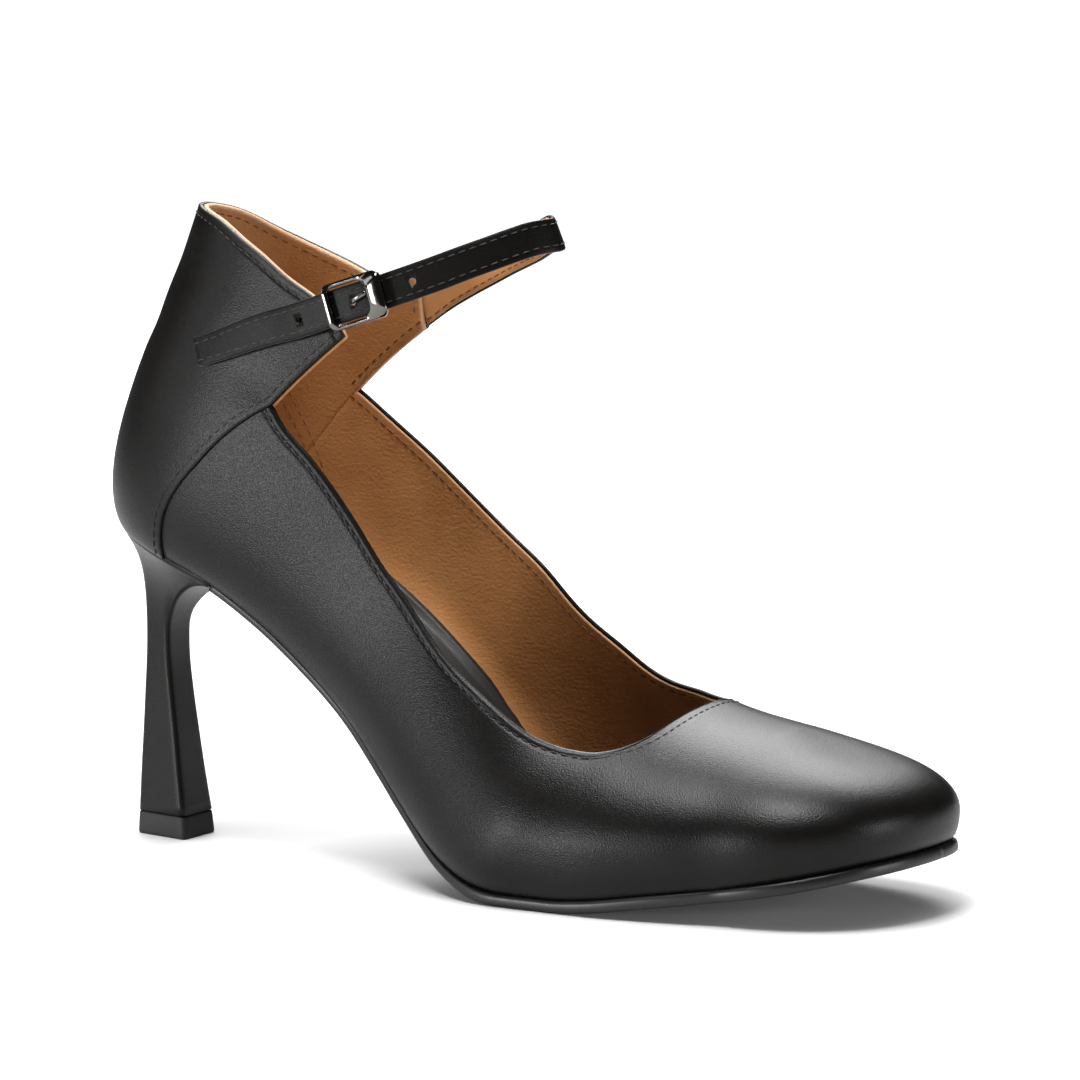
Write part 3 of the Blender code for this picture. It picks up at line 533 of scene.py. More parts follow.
# Camera as in the photograph
AZIMUTH = math.radians(31)
ELEVATION = math.radians(8)
CAMERA_PLACE = (0.8688570, -1.2714155, 0.2883427)
LENS = 213.0
SENSOR = 36.0


class Surface:
    """A dense copy of one side of the last, read at many stations and rib shares at once."""

    def __init__(self, side):
        self.shares = np.concatenate([np.linspace(0, HEEL_AT, 80), np.linspace(HEEL_AT, TOE_AT, 330)[1:],
                                      np.linspace(TOE_AT, 1, 90)[1:]])
        self.lines = np.array([column(side, share) for share in self.shares])

    def settle(self, lines):
        self.lines = lines
        self.lengths = np.linalg.norm(np.diff(lines, axis=1), axis=2).sum(axis=1)

    def read(self, at, up):
        at, up = np.broadcast_arrays(np.clip(at, 0, 1), np.clip(up, 0, 1))
        i = np.clip(np.searchsorted(self.shares, at, side="right") - 1, 0, len(self.shares) - 2)
        s = ((at - self.shares[i])/(self.shares[i + 1] - self.shares[i]))[..., None]
        place = up*(RIB_POINTS - 1)
        k = np.minimum(place.astype(int), RIB_POINTS - 2)
        t = (place - k)[..., None]
        low = self.lines[i, k]*(1 - s) + self.lines[i + 1, k]*s
        high = self.lines[i, k + 1]*(1 - s) + self.lines[i + 1, k + 1]*s
        return low*(1 - t) + high*t

    def length(self, at):
        return np.interp(at, self.shares, self.lengths)


def smooth_step(value):
    value = np.clip(value, 0, 1)
    return value*value*(3 - 2*value)


def smooth_surfaces(reach=LAST_SMOOTH):
    """Both sides of the last, eased a little along its girth lines so that highlights run without steps."""
    sides = {side: Surface(side) for side in (-1, 1)}
    count = len(sides[-1].shares)
    loop = np.concatenate([sides[-1].lines, sides[1].lines[-2:0:-1]])
    steps = np.arange(-3*reach, 3*reach + 1)
    weights = np.exp(-(steps/reach)**2/2)
    eased = sum(w*np.roll(loop, k, axis=0) for w, k in zip(weights/weights.sum(), steps))
    shares = sides[-1].shares
    ahead = smooth_step((np.concatenate([shares, shares[-2:0:-1]]) - .62)/.08)
    keep = ahead[:, None]*smooth_step((np.linspace(0, 1, RIB_POINTS) - .70)/.30)
    eased = eased + (loop - eased)*keep[..., None]
    sides[-1].settle(eased[:count])
    sides[1].settle(np.concatenate([eased[:1], eased[:count - 2:-1]]))
    return sides


SURFACE = smooth_surfaces()


def bend_of(rise):
    return np.clip((rise - SEAM_RISE)/(1 - SEAM_RISE), 0, None)**SEAM_BEND


def edge_rows(length, top, low_rows=26):
    """Shares of a height, close together near the upper edge, down to where the edge band ends."""
    band = (top + EDGE_ROWS)/length
    low = np.linspace(0, 1, low_rows, endpoint=False)*(1 - band[0])
    return np.concatenate([low, 1 - band])


def quarter_grid(side, feet, top=0.0):
    """Stations, rib shares and distance below the edge over the quarter and vamp."""
    throat_foot, throat_at = TOPLINE[-1, :2]
    at_rows, up_rows, down_rows = [], [], []
    for foot in feet:
        if foot > throat_foot:
            past_throat = (foot - throat_foot)/(TOE_AT - throat_foot)
            edge_at = foot if foot > TOE_AT else min(foot, throat_at + past_throat*(TOE_AT - throat_at))
            edge_up = 1.0
        else:
            edge_at, edge_up = topline(half(side) + "_at", foot), topline(half(side) + "_up", foot)
        length = float(SURFACE[side].length(edge_at))*edge_up
        rows = edge_rows(length, top if foot < throat_foot - .001 else 0.0)
        at_rows.append(foot + (edge_at - foot)*bend_of(rows))
        up_rows.append(edge_up*rows)
        down_rows.append((1 - rows)*length if foot < throat_foot - .001 else np.full(len(rows), .02))
    return np.array(at_rows), np.array(up_rows), np.array(down_rows)


def panel_grid(side, feet, collar_top=0.0):
    """The same over the rear panel, from the feather edge to the collar."""
    at_rows, up_rows, down_rows = [], [], []
    corner_at, corner_up = topline(half(side) + "_at", SEAM_FOOT), topline(half(side) + "_up", SEAM_FOOT)
    for foot in feet:
        out = foot/SEAM_FOOT
        level = BACK_LEVEL + (corner_up - BACK_LEVEL)*out**2
        low = np.linspace(0, 1, 30)
        high = float(ease(COLLAR_EDGE, COLLAR_COLUMNS.index(half(side)), out))
        length = float(SURFACE[side].length(out*WING_TIP[half(side)]))*(high - level)
        rows = edge_rows(length, collar_top, 16)[1:]
        edge = corner_at + (WING_TIP[half(side)] - corner_at)*rows
        at_rows.append(np.concatenate([out*(SEAM_FOOT + (corner_at - SEAM_FOOT)*bend_of(low)), out*edge]))
        up_rows.append(np.concatenate([level*low, level + (high - level)*rows]))
        down_rows.append(np.concatenate([length + (1 - low)*.04, (1 - rows)*length]))
    return np.array(at_rows), np.array(up_rows), np.array(down_rows)


class Skin:
    """Points, faces and values of a sheet made of grids that meet along their rims."""

    def __init__(self, grids):
        places, faces, values, start = [], [], [], 0
        for side, at, up, down in grids:
            places.append(SURFACE[side].read(at, up).reshape(-1, 3))
            values.append(np.stack([at.ravel(), up.ravel(), down.ravel(), np.full(at.size, side)], -1))
            rows, cols = at.shape
            index = start + np.arange(rows*cols).reshape(rows, cols)
            a, b, c, d = index[:-1, :-1], index[1:, :-1], index[1:, 1:], index[:-1, 1:]
            quads = (a, b, c, d) if side < 0 else (b, a, d, c)
            faces.append(np.stack([q.ravel() for q in quads], -1))
            start += at.size
        places, values = np.concatenate(places), np.concatenate(values)
        # points closer together than about a twentieth of a millimetre are one
        _, first, number = np.unique(np.round(places*2e4).astype(np.int64), axis=0, return_index=True,
                                     return_inverse=True)
        self.points = places[first]
        self.values = values[first]
        self.faces = [tuple(dict.fromkeys(face)) for face in number.ravel()[np.concatenate(faces)]]
        self.faces = [face for face in self.faces if len(face) > 2]
        self.normals = self.find_normals()

    def find_normals(self):
        normals = np.zeros_like(self.points)
        for face in self.faces:
            p = self.points[list(face)]
            turn = np.cross(p[2] - p[0], p[-1] - p[1])
            if len(face) == 3:
                turn = np.cross(p[1] - p[0], p[2] - p[0])
            normals[list(face)] += turn
        return normals/np.linalg.norm(normals, axis=1)[:, None]

    def move(self, height):
        """Push the sheet in or out along its normals by a height for each point."""
        self.points = self.points + self.normals*np.asarray(height)[:, None]
        self.normals = self.find_normals()
        return self


def mesh_object(name, points, faces, material, values=None):
    """A mesh in the frame's place, with the named values that its material reads."""
    mesh = bpy.data.meshes.new(name)
    points = np.asarray(points, float) - [TIP_BEHIND, 0, 0]
    mesh.from_pydata(points.tolist(), [], [tuple(int(k) for k in face) for face in faces])
    for key, column_values in (values or {}).items():
        layer = mesh.attributes.new(key, "FLOAT", "POINT")
        layer.data.foreach_set("value", np.asarray(column_values, np.float32))
    mesh.materials.append(material)
    mesh.validate()
    whole = bmesh.new()
    whole.from_mesh(mesh)
    bmesh.ops.remove_doubles(whole, verts=whole.verts, dist=2e-6)
    whole.to_mesh(mesh)
    whole.free()
    mesh.shade_smooth()
    item = bpy.data.objects.new(name, mesh)
    bpy.context.scene.collection.objects.link(item)
    return item


def layer(name, skin, outer, inner, material, bulge=0.8, rim=5):
    """A closed sheet of leather between two heights off the skin, with rounded rims."""
    count = len(skin.points)
    outer = np.broadcast_to(outer, count)[:, None]
    inner = np.broadcast_to(inner, count)[:, None]
    top, under = skin.points + skin.normals*outer, skin.points + skin.normals*inner
    uses = {}
    for face in skin.faces:
        for a, b in zip(face, face[1:] + face[:1]):
            uses.setdefault((min(a, b), max(a, b)), []).append((a, b))
    rims = [found[0] for found in uses.values() if len(found) == 1]
    away = {}
    for a, b in rims:
        turn = np.cross(skin.points[b] - skin.points[a], skin.normals[a])
        for k in (a, b):
            away[k] = away.get(k, 0) + turn/(np.linalg.norm(turn) + 1e-12)
    points = [top, under]
    faces = list(skin.faces) + [tuple(k + count for k in reversed(face)) for face in skin.faces]
    values = [skin.values, skin.values]
    rim_start, start = {}, 2*count
    for k, turn in away.items():
        turn = turn/(np.linalg.norm(turn) + 1e-12)
        middle, reach = (top[k] + under[k])/2, (top[k] - under[k])/2
        steps = np.linspace(0, math.pi, rim + 1)[1:-1, None]
        points.append(middle + reach*np.cos(steps) + turn*np.linalg.norm(reach)*bulge*np.sin(steps))
        values.append(np.repeat(skin.values[k][None], rim - 1, axis=0))
        rim_start[k] = start
        start += rim - 1
    for a, b in rims:
        line_a = [a] + list(range(rim_start[a], rim_start[a] + rim - 1)) + [a + count]
        line_b = [b] + list(range(rim_start[b], rim_start[b] + rim - 1)) + [b + count]
        for k in range(rim):
            faces.append((line_b[k], line_a[k], line_a[k + 1], line_b[k + 1]))
    points, values = np.concatenate(points), np.concatenate(values)
    inside = np.concatenate([np.zeros(count), np.ones(count), np.full(len(points) - 2*count, .5)])
    return mesh_object(name, points, faces, material,
                       {"station": values[:, 0], "rib_share": values[:, 1], "edge_down": values[:, 2],
                        "side": values[:, 3], "inside": inside})


def bump_at(value, centre, width):
    return np.exp(-((value - centre)/width)**2)


# Depth in mm, station, rib share, width along, width up and side; a side of 0 means both
FOLDS = [
    (-0.60, .060, .80, .030, .08, -1),
    (0.40, .105, .74, .018, .09, -1),
    (-0.45, .045, .62, .030, .07, -1),
    (-0.35, .150, .62, .018, .06, -1),
    (-0.20, .060, .80, .030, .09, 1),
    (0.20, .300, .25, .060, .12, -1),
    (-0.25, .620, .30, .030, .10, -1),
    (0.15, .680, .55, .040, .15, 0)]


def soft_folds(skin):
    """Soft hollows and swells of worn-in leather, placed by station, rib share and side."""
    at, up, _, side = skin.values.T
    outer, inner = side < 0, side > 0
    height = np.zeros(len(at))
    for depth, a, u, wide, high, which in FOLDS:
        here = outer if which < 0 else inner if which > 0 else np.ones(len(at), bool)
        height += 0.001*depth*bump_at(at, a, wide)*bump_at(up, u, high)*here
    return height


def loop_mesh(rings, closed=False):
    """Points and faces through rings of one count; fans close the two ends of an open row."""
    rings = [np.asarray(ring, float) for ring in rings]
    count = len(rings[0])
    points = list(np.concatenate(rings))
    faces = []
    pairs = list(zip(range(len(rings)), range(1, len(rings))))
    if closed:
        pairs.append((len(rings) - 1, 0))
    for low, high in pairs:
        for k in range(count):
            after = (k + 1) % count
            faces.append((low*count + k, low*count + after, high*count + after, high*count + k))
    if not closed:
        for ring, turned in ((0, True), (len(rings) - 1, False)):
            points.append(rings[ring].mean(axis=0))
            for k in range(count):
                after = (k + 1) % count
                face = (len(points) - 1, ring*count + k, ring*count + after)
                faces.append(tuple(reversed(face)) if turned else face)
    return np.array(points), faces


def rounded_section(half_wide, half_thick, count, square):
    """A flat section with rounded corners as pairs along and across."""
    turns = np.linspace(0, 2*math.pi, count, endpoint=False) + math.pi/count
    c, s = np.cos(turns), np.sin(turns)
    power = 2/square
    return np.stack([np.sign(c)*np.abs(c)**power*half_wide, np.sign(s)*np.abs(s)**power*half_thick], -1)


# Pieces of the upper
def spaced(*spans):
    """Joined runs of even steps: pairs of end and step, from the first number on."""
    start, values = spans[0], [spans[0]]
    for end, step in spans[1:]:
        count = max(int(round((end - start)/step)), 1)
        values += list(np.linspace(start, end, count + 1)[1:])
        start = end
    return values


QUARTER_FEET = spaced(.095, (SEAM_FOOT, .004), (.62, .0065), (.75, .003), (TOE_AT, .0065), (1.0, .0055))
PANEL_FEET = spaced(0.0, (.100, .005), (SEAM_FOOT, .0017))


def quarters_and_vamp(material):
    skin = Skin([(side, *quarter_grid(side, QUARTER_FEET, top=.0003)) for side in (-1, 1)])
    skin.move(soft_folds(skin))
    down = skin.values[:, 2]
    groove = -GROOVE_DEEP*bump_at(down, EDGE_STITCH, GROOVE_WIDE) - .00025*bump_at(down, 0, .0005)
    swell = .00008*bump_at(down, EDGE_STITCH*.5, .0005)
    return layer("quarters_and_vamp", skin, groove + swell, -LEATHER, material)


def rear_panel(material):
    skin = Skin([(side, *panel_grid(side, PANEL_FEET, .0003)) for side in (-1, 1)])
    skin.move(soft_folds(skin))
    groove = -GROOVE_DEEP*bump_at(skin.values[:, 2], EDGE_STITCH, GROOVE_WIDE)
    return layer("rear_panel", skin, PANEL_THICK + groove, -LEATHER*.5, material, bulge=.5)


def lining(material):
    quarter = [(side, *quarter_grid(side, QUARTER_FEET[5:], top=LINING_DOWN)) for side in (-1, 1)]
    panel = [(side, *panel_grid(side, PANEL_FEET, LINING_DOWN*.5)) for side in (-1, 1)]
    front = Skin(quarter)
    front.move(soft_folds(front))
    rear = Skin(panel)
    rear.move(soft_folds(rear))
    front_piece = layer("front_lining", front, -LEATHER + .0001, -LEATHER - LINING, material)
    rear_piece = layer("rear_lining", rear, -LEATHER*.5 + .0001, -LEATHER - LINING - .0001, material)
    return front_piece, rear_piece


def sock_sheet(material):
    """The black sock: flat on the insole and turned up along both walls."""
    stations = spaced(.012, (HEEL_AT, .006), (TOE_AT, .008), (.985, .006))
    rings = []
    for share in stations:
        walls = []
        fade = (.12 + .88*smooth_step((share - .03)/.20))*(1 - .45*smooth_step((share - .36)/.07))
        for side, turned_up in ((-1, SOCK_TURN*.3*fade), (1, SOCK_TURN*fade)):
            length = float(SURFACE[side].length(share))
            rise = np.array([turned_up, turned_up*.8, turned_up*.6, turned_up*.4])/length + SOCK/length
            walls.append(line_on(side, np.full(4, share), rise, -(WALL + .0003))[0])
        outer, inner = [sole_point(side, share, WALL + .0012, GAP + SOCK + .0002) for side in (-1, 1)]
        lifted = ARCH_PAD*arch(share)
        floor = []
        for part_way in np.linspace(0.02, .98, 13):
            place = outer + (inner - outer)*part_way
            if HEEL_AT <= share <= TOE_AT:
                place = across(share, place[1]) + sole_up(share)*(GAP + SOCK + .0002)
            out = max(place[1], 0)/max(inner[1], .001)
            floor.append(place + sole_up(share)*lifted*out**2)
        top = np.concatenate([walls[0], floor, walls[1][::-1]])
        under = top[::-1] - sole_up(share)*.0006
        rings.append(np.concatenate([top, under]))
    points, faces = loop_mesh(rings[::-1])
    return mesh_object("sock", points, faces, material)


def outsole(material):
    """The sole with a rounded edge; its underside is plain."""
    stations = [BREAST/LENGTH + GAP/LENGTH] + spaced(.172, (TOE_AT, .007), (.96, .006), (1.0, .003))
    rings = []
    for share in stations:
        inset = SHANK_INSET - (SHANK_INSET + WELT)*forefoot(share)
        thick = SHANK_SOLE + (SOLE - SHANK_SOLE)*forefoot(share)
        up = sole_up(sole_point(-1, share, inset)[0]/LENGTH)
        edge = []
        for deep, back in ((.02, .0007), (.10, .0002), (.30, 0), (.70, 0), (.90, .0002), (1.0, .0007)):
            edge.append([sole_point(side, share, inset + back, -thick*deep) for side in (-1, 1)])
        outer = [pair[0] for pair in edge]
        inner = [pair[1] for pair in edge]
        floor = []
        for part_way in np.linspace(0, 1, 12)[1:-1]:
            place = outer[-1] + (inner[-1] - outer[-1])*part_way
            if HEEL_AT <= share <= TOE_AT:
                place = across(share, place[1]) - sole_up(share)*thick
            floor.append(place)
        top = []
        for part_way in np.linspace(1, 0, 8)[1:-1]:
            place = outer[0] + (inner[0] - outer[0])*part_way
            if HEEL_AT <= share <= TOE_AT:
                place = across(share, place[1])
            top.append(place)
        rings.append(outer + floor + inner[::-1] + top)
    points, faces = loop_mesh(rings)
    return mesh_object("sole", points, faces, material)


def stem_ring(behind, ahead, back, front, height, round_front=.0011):
    """One level of the heel: a round back, nearly flat sides, small front corners and a flat breast."""
    bow = HEEL_BOW*(back + front)/2
    outer = []
    for turn in np.linspace(0, math.pi/2, 9)[:-1]:
        outer.append((TIP_BEHIND - behind + bow*(1 - math.cos(turn)), -back*math.sin(turn)))
    x0 = TIP_BEHIND - behind + bow
    x1 = TIP_BEHIND + ahead - round_front
    for share in np.linspace(0, 1, 9):
        outer.append((x0 + (x1 - x0)*share, -(back + (front - back)*share)))
    for turn in np.linspace(0, math.pi/2, 5)[1:]:
        outer.append((x1 + round_front*math.sin(turn), -(front - round_front*(1 - math.cos(turn)))))
    flat = front - round_front
    breast = [(TIP_BEHIND + ahead, y) for y in np.linspace(-flat, flat, 11)[1:-1]]
    inner = [(x, -y) for x, y in reversed(outer[1:])]
    return np.array([(x, y, height) for x, y in outer + breast + inner])


def seat_ring(count, lift):
    """The heel's upper edge with as many points as a level of the stem."""
    half_count = (count - 9 + 1)//2
    shares = np.linspace(0, BREAST/LENGTH, half_count)
    outer = [sole_point(-1, s, HEEL_INSET, lift) for s in shares]
    inner = [sole_point(1, s, HEEL_INSET, lift) for s in reversed(shares[1:])]
    breast = [outer[-1] + (inner[0] - outer[-1])*k/10 for k in range(1, 10)]
    return np.array(outer + breast + inner)


def stem_size(rise):
    half_long, half_wide = TIP_LONG/2, TIP_WIDE/2
    read = [float(ease(STEM, k, rise)) for k in range(1, 5)]
    return half_long*read[0], half_long*read[1], half_wide*read[2], half_wide*read[3]


def heel_block(material):
    base = TIP_THICK + GAP
    rings = []
    for rise in np.linspace(0, 1, 22):
        rings.append(stem_ring(*stem_size(rise), base + (STEM_TOP - base)*rise))
    waist, edge = rings[-1], seat_ring(len(rings[-1]), -HEEL_LIP)
    widest = max(np.linalg.norm((e - w)[:2]) for e, w in zip(edge, waist))
    for t in np.linspace(0, 1, 19)[1:]:
        ring = []
        for low, high in zip(waist, edge):
            rise = high[2] - low[2]
            away = np.linalg.norm((high - low)[:2])/widest
            climb = low + np.array([0, 0, FLARE_CLIMB*rise])
            under = (low + high)/2
            under[2] = high[2] - rise*(FLARE_UNDER - FLARE_TIGHT*away)
            ring.append(low*(1 - t)**3 + 3*climb*t*(1 - t)**2 + 3*under*t*t*(1 - t) + high*t**3)
        rings.append(np.array(ring))
    top = seat_ring(len(waist), 0.0)
    rings += [rings[-1]*.3 + top*.7, top]
    points, faces = loop_mesh(rings)
    return mesh_object("heel_cover", points, faces, material)


def heel_tip(material):
    half_long, half_wide = TIP_LONG/2, TIP_WIDE/2
    low = stem_ring(half_long, half_long, half_wide*TIP_BACK, half_wide, 0.0)
    high = stem_ring(*stem_size(0), TIP_THICK)
    rings = []
    for share, inset in ((0, .0004), (.05, .0001), (.12, 0), (.5, 0), (.9, 0), (.97, .0001), (1, .0003)):
        ring = low + (high - low)*share
        middle = ring.mean(axis=0)
        away = (ring - middle)*[1, 1, 0]
        rings.append(ring - away/np.linalg.norm(away, axis=1)[:, None]*inset)
    points, faces = loop_mesh(rings)
    return mesh_object("heel_tip", points, faces, material)


# Strap and buckle
ROUTE = {"middle": np.column_stack([RUN, MIDDLES]), "up": np.column_stack([RUN, UPS]),
         "wide": np.column_stack([RUN, WIDES])}


def strap_smooth(run):
    """Middle, forward, up and outward directions and width at a distance from the inner wing's joint."""
    def read(key, at):
        return np.array([float(ease(ROUTE[key], k, at)) for k in range(1, ROUTE[key].shape[1])])
    near = .0006
    middle = read("middle", run)
    forward = unit(read("middle", max(run - near, 0)) - read("middle", min(run + near, RUN[-1])))
    up = unit(read("up", run))
    return middle, forward, up, unit(np.cross(forward, up)), read("wide", run)[0]


def strap_band(name, material, thick, sink, narrow, start=0.0, end=RUN[-1], wide=None, count=150):
    """A band along the strap: its thickness, its depth below the strap's middle and how much narrower."""
    square = 5
    rings = []
    for k, run in enumerate(np.linspace(start, end, count)):
        middle, _, up, out, full = strap_smooth(run)
        taper = .75 if k in (0, count - 1) else 1.0
        flat = rounded_section((wide or full)/2 - narrow, thick/2*taper, 24, square)
        rings.append([middle - out*sink + up*a + out*b for a, b in flat])
    points, faces = loop_mesh(rings[::-1])
    rim = np.abs(rounded_section(1, 1, 24, square)[:, 0]) > .93
    down = np.tile(np.where(rim, 0, .02), count)
    down[:24] = down[-24:] = 0
    return mesh_object(name, points, faces, material, {"edge_down": np.append(down, [0, 0])})


def punch(item, places, radius):
    """Cut round holes through a strap, and keep the result as a plain mesh."""
    cutters = []
    for middle, out in places:
        bpy.ops.mesh.primitive_cylinder_add(radius=radius, depth=.006, vertices=28)
        cutter = bpy.context.object
        cutter.matrix_world = Matrix.Translation(Vector(middle - [TIP_BEHIND, 0, 0])) @ \
            Vector(out).to_track_quat("Z", "Y").to_matrix().to_4x4()
        cut = item.modifiers.new("hole", "BOOLEAN")
        cut.solver = "EXACT"
        cut.object = cutter
        cutters.append(cutter)
    keep_result(item)
    for cutter in cutters:
        bpy.data.objects.remove(cutter)
    return item


def keep_result(item):
    """Replace an object's mesh with what its modifiers make of it."""
    graph = bpy.context.evaluated_depsgraph_get()
    graph.update()
    made = bpy.data.meshes.new_from_object(item.evaluated_get(graph), preserve_all_data_layers=True,
                                           depsgraph=graph)
    item.modifiers.clear()
    item.data = made
    item.data.name = item.name
    return item


def hole_places():
    places = []
    for k in (-1, 0, 1):
        middle, _, _, out, _ = strap_smooth(SIDE_RUN - HOLE_AT - k*HOLE_STEP)
        places.append((middle, out))
    return places


def buckle_frame(place, material):
    left, right = FRAME_AHEAD - FRAME_LONG/2, FRAME_AHEAD + FRAME_LONG/2
    high = FRAME_HIGH/2
    outer = corner_line(left, right, -high, high, CORNER_ROUND, CORNER_ROUND)
    inner = corner_line(left + KEEPER_BAR, right - END_BAR, -high + FRAME_RAIL, high - FRAME_RAIL,
                        CORNER_ROUND/2, WINDOW_ROUND)
    rings = []
    for (x, y, bar), (u, v, _) in zip(outer, inner):
        full = KEEPER_THICK if x < FRAME_AHEAD else END_THICK
        low = -RAIL_DEPTH + (RAIL_DEPTH + GAP)*smooth_step(bar*3)
        top = FRAME_RAIL + (GAP + full - FRAME_RAIL)*smooth_step(bar)
        across_line, middle = np.array([x - u, y - v])/2, np.array([x + u, y + v])/2
        ring = []
        for c, s in rounded_section(1, 1, 16, 3.2):
            flat = middle + across_line*c
            ring.append(place(flat[0], flat[1], (low + top)/2 + (top - low)/2*s))
        rings.append(ring)
    points, faces = loop_mesh(rings, closed=True)
    return mesh_object("buckle_cast_frame", points, faces, material)


def corner_line(left, right, low, high, round_left, round_right, steps=9, straight=6):
    """A rectangle with round corners and points along its sides; bar is 1 on the two bars."""
    corners = ((right, high, round_right, 0), (left, high, round_left, 1),
               (left, low, round_left, 2), (right, low, round_right, 3))
    points = []
    for n, (x, y, r, quarter) in enumerate(corners):
        cx = x - r if x == right else x + r
        cy = y - r if y == high else y + r
        for k in range(steps):
            turn = math.pi/2*(quarter + k/(steps - 1))
            bar = k/(steps - 1) if quarter % 2 else 1 - k/(steps - 1)
            points.append((cx + r*math.cos(turn), cy + r*math.sin(turn), bar))
        x2, y2, r2, quarter2 = corners[(n + 1) % 4]
        cx2 = x2 - r2 if x2 == right else x2 + r2
        cy2 = y2 - r2 if y2 == high else y2 + r2
        turn = math.pi/2*quarter2
        a = np.array(points[-1])
        b = np.array([cx2 + r2*math.cos(turn), cy2 + r2*math.sin(turn), points[-1][2]])
        points += [tuple(a + (b - a)*k/(straight + 1)) for k in range(1, straight + 1)]
    return points


def rod(name, path, radius, aside, material, sides=14):
    path = np.array(path)
    rings = []
    for k, place in enumerate(path):
        along = unit(path[min(k + 1, len(path) - 1)] - path[max(k - 1, 0)])
        first = unit(aside - along*np.dot(aside, along))
        second = np.cross(along, first)
        thick = radius*(.6 if k in (0, len(path) - 1) else 1)
        rings.append([place + thick*(first*math.cos(a) + second*math.sin(a))
                      for a in np.linspace(0, 2*math.pi, sides, endpoint=False)])
    points, faces = loop_mesh(rings)
    return mesh_object(name, points, faces, material)


def buckle_prong(place, material):
    start = FRAME_AHEAD + FRAME_LONG/2 - END_BAR - GAP*.5
    knots = np.array([(start, 2*PRONG_ROUND, PRONG_HIGH), (start/2, PRONG_ROUND, PRONG_HIGH*1.05),
                      (PRONG_ROUND*1.6, PRONG_ROUND*.4, PRONG_HIGH*.9), (PRONG_ROUND*.5, 0, PRONG_HIGH*.45),
                      (0, 0, -STRAP_THICK*.2), (0, 0, -STRAP_THICK*.7)])
    run = np.column_stack([np.arange(len(knots)), knots])
    path = [[float(ease(run, k, t)) for k in (1, 2, 3)] for t in np.linspace(0, len(knots) - 1, 24)]
    return rod("buckle_pin", [place(*p) for p in path], PRONG_ROUND*1.15, place.up, material)


# Stitches
def stitch_nodes():
    """A row of stitches along each line of a mesh: pitch, length, thread width and thread as inputs."""
    tree = bpy.data.node_groups.new("stitch_row", "GeometryNodeTree")
    face = tree.interface
    face.new_socket("Lines", in_out="INPUT", socket_type="NodeSocketGeometry")
    for label, value in (("Pitch", STITCH_PITCH), ("Stitch Length", STITCH_LONG), ("Thread Width", THREAD),
                         ("Unevenness", .06)):
        face.new_socket(label, in_out="INPUT", socket_type="NodeSocketFloat").default_value = value
    face.new_socket("Seed", in_out="INPUT", socket_type="NodeSocketInt").default_value = 3
    face.new_socket("Thread", in_out="INPUT", socket_type="NodeSocketMaterial")
    face.new_socket("Stitches", in_out="OUTPUT", socket_type="NodeSocketGeometry")
    new = tree.nodes.new
    link = tree.links.new
    inputs, outputs = new("NodeGroupInput"), new("NodeGroupOutput")
    curve = new("GeometryNodeMeshToCurve")
    link(inputs.outputs["Lines"], curve.inputs["Mesh"])
    evenly_spaced = new("GeometryNodeResampleCurve")
    evenly_spaced.mode = "LENGTH"
    link(curve.outputs["Curve"], evenly_spaced.inputs["Curve"])
    link(inputs.outputs["Pitch"], evenly_spaced.inputs["Length"])
    thread = new("GeometryNodeMeshUVSphere")
    thread.inputs["Segments"].default_value = 10
    thread.inputs["Rings"].default_value = 7
    thread.inputs["Radius"].default_value = .5
    size = new("ShaderNodeCombineXYZ")
    link(inputs.outputs["Stitch Length"], size.inputs["X"])
    link(inputs.outputs["Thread Width"], size.inputs["Y"])
    link(inputs.outputs["Thread Width"], size.inputs["Z"])
    shaped = new("GeometryNodeTransform")
    link(thread.outputs["Mesh"], shaped.inputs["Geometry"])
    link(size.outputs["Vector"], shaped.inputs["Scale"])
    tangent = new("GeometryNodeInputTangent")
    out = new("GeometryNodeInputNamedAttribute")
    out.data_type = "FLOAT_VECTOR"
    out.inputs["Name"].default_value = "out"
    along = new("FunctionNodeAlignRotationToVector")
    along.axis = "X"
    link(tangent.outputs["Tangent"], along.inputs["Vector"])
    facing = new("FunctionNodeAlignRotationToVector")
    facing.axis = "Z"
    facing.pivot_axis = "X"
    link(along.outputs["Rotation"], facing.inputs["Rotation"])
    link(out.outputs["Attribute"], facing.inputs["Vector"])
    vary = new("FunctionNodeRandomValue")
    vary.data_type = "FLOAT_VECTOR"
    less = new("ShaderNodeMath")
    less.operation = "SUBTRACT"
    less.inputs[0].default_value = 1.0
    more = new("ShaderNodeMath")
    more.operation = "ADD"
    more.inputs[0].default_value = 1.0
    for node in (less, more):
        link(inputs.outputs["Unevenness"], node.inputs[1])
    link(less.outputs[0], vary.inputs["Min"])
    link(more.outputs[0], vary.inputs["Max"])
    link(inputs.outputs["Seed"], vary.inputs["Seed"])
    place = new("GeometryNodeInstanceOnPoints")
    link(evenly_spaced.outputs["Curve"], place.inputs["Points"])
    link(shaped.outputs["Geometry"], place.inputs["Instance"])
    link(facing.outputs["Rotation"], place.inputs["Rotation"])
    link(vary.outputs["Value"], place.inputs["Scale"])
    real = new("GeometryNodeRealizeInstances")
    link(place.outputs["Instances"], real.inputs["Geometry"])
    soft = new("GeometryNodeSetShadeSmooth")
    link(real.outputs["Geometry"], soft.inputs["Geometry"])
    dressed = new("GeometryNodeSetMaterial")
    link(soft.outputs["Geometry"], dressed.inputs["Geometry"])
    link(inputs.outputs["Thread"], dressed.inputs["Material"])
    link(dressed.outputs["Geometry"], outputs.inputs["Stitches"])
    return tree


STITCH_TREE = stitch_nodes()


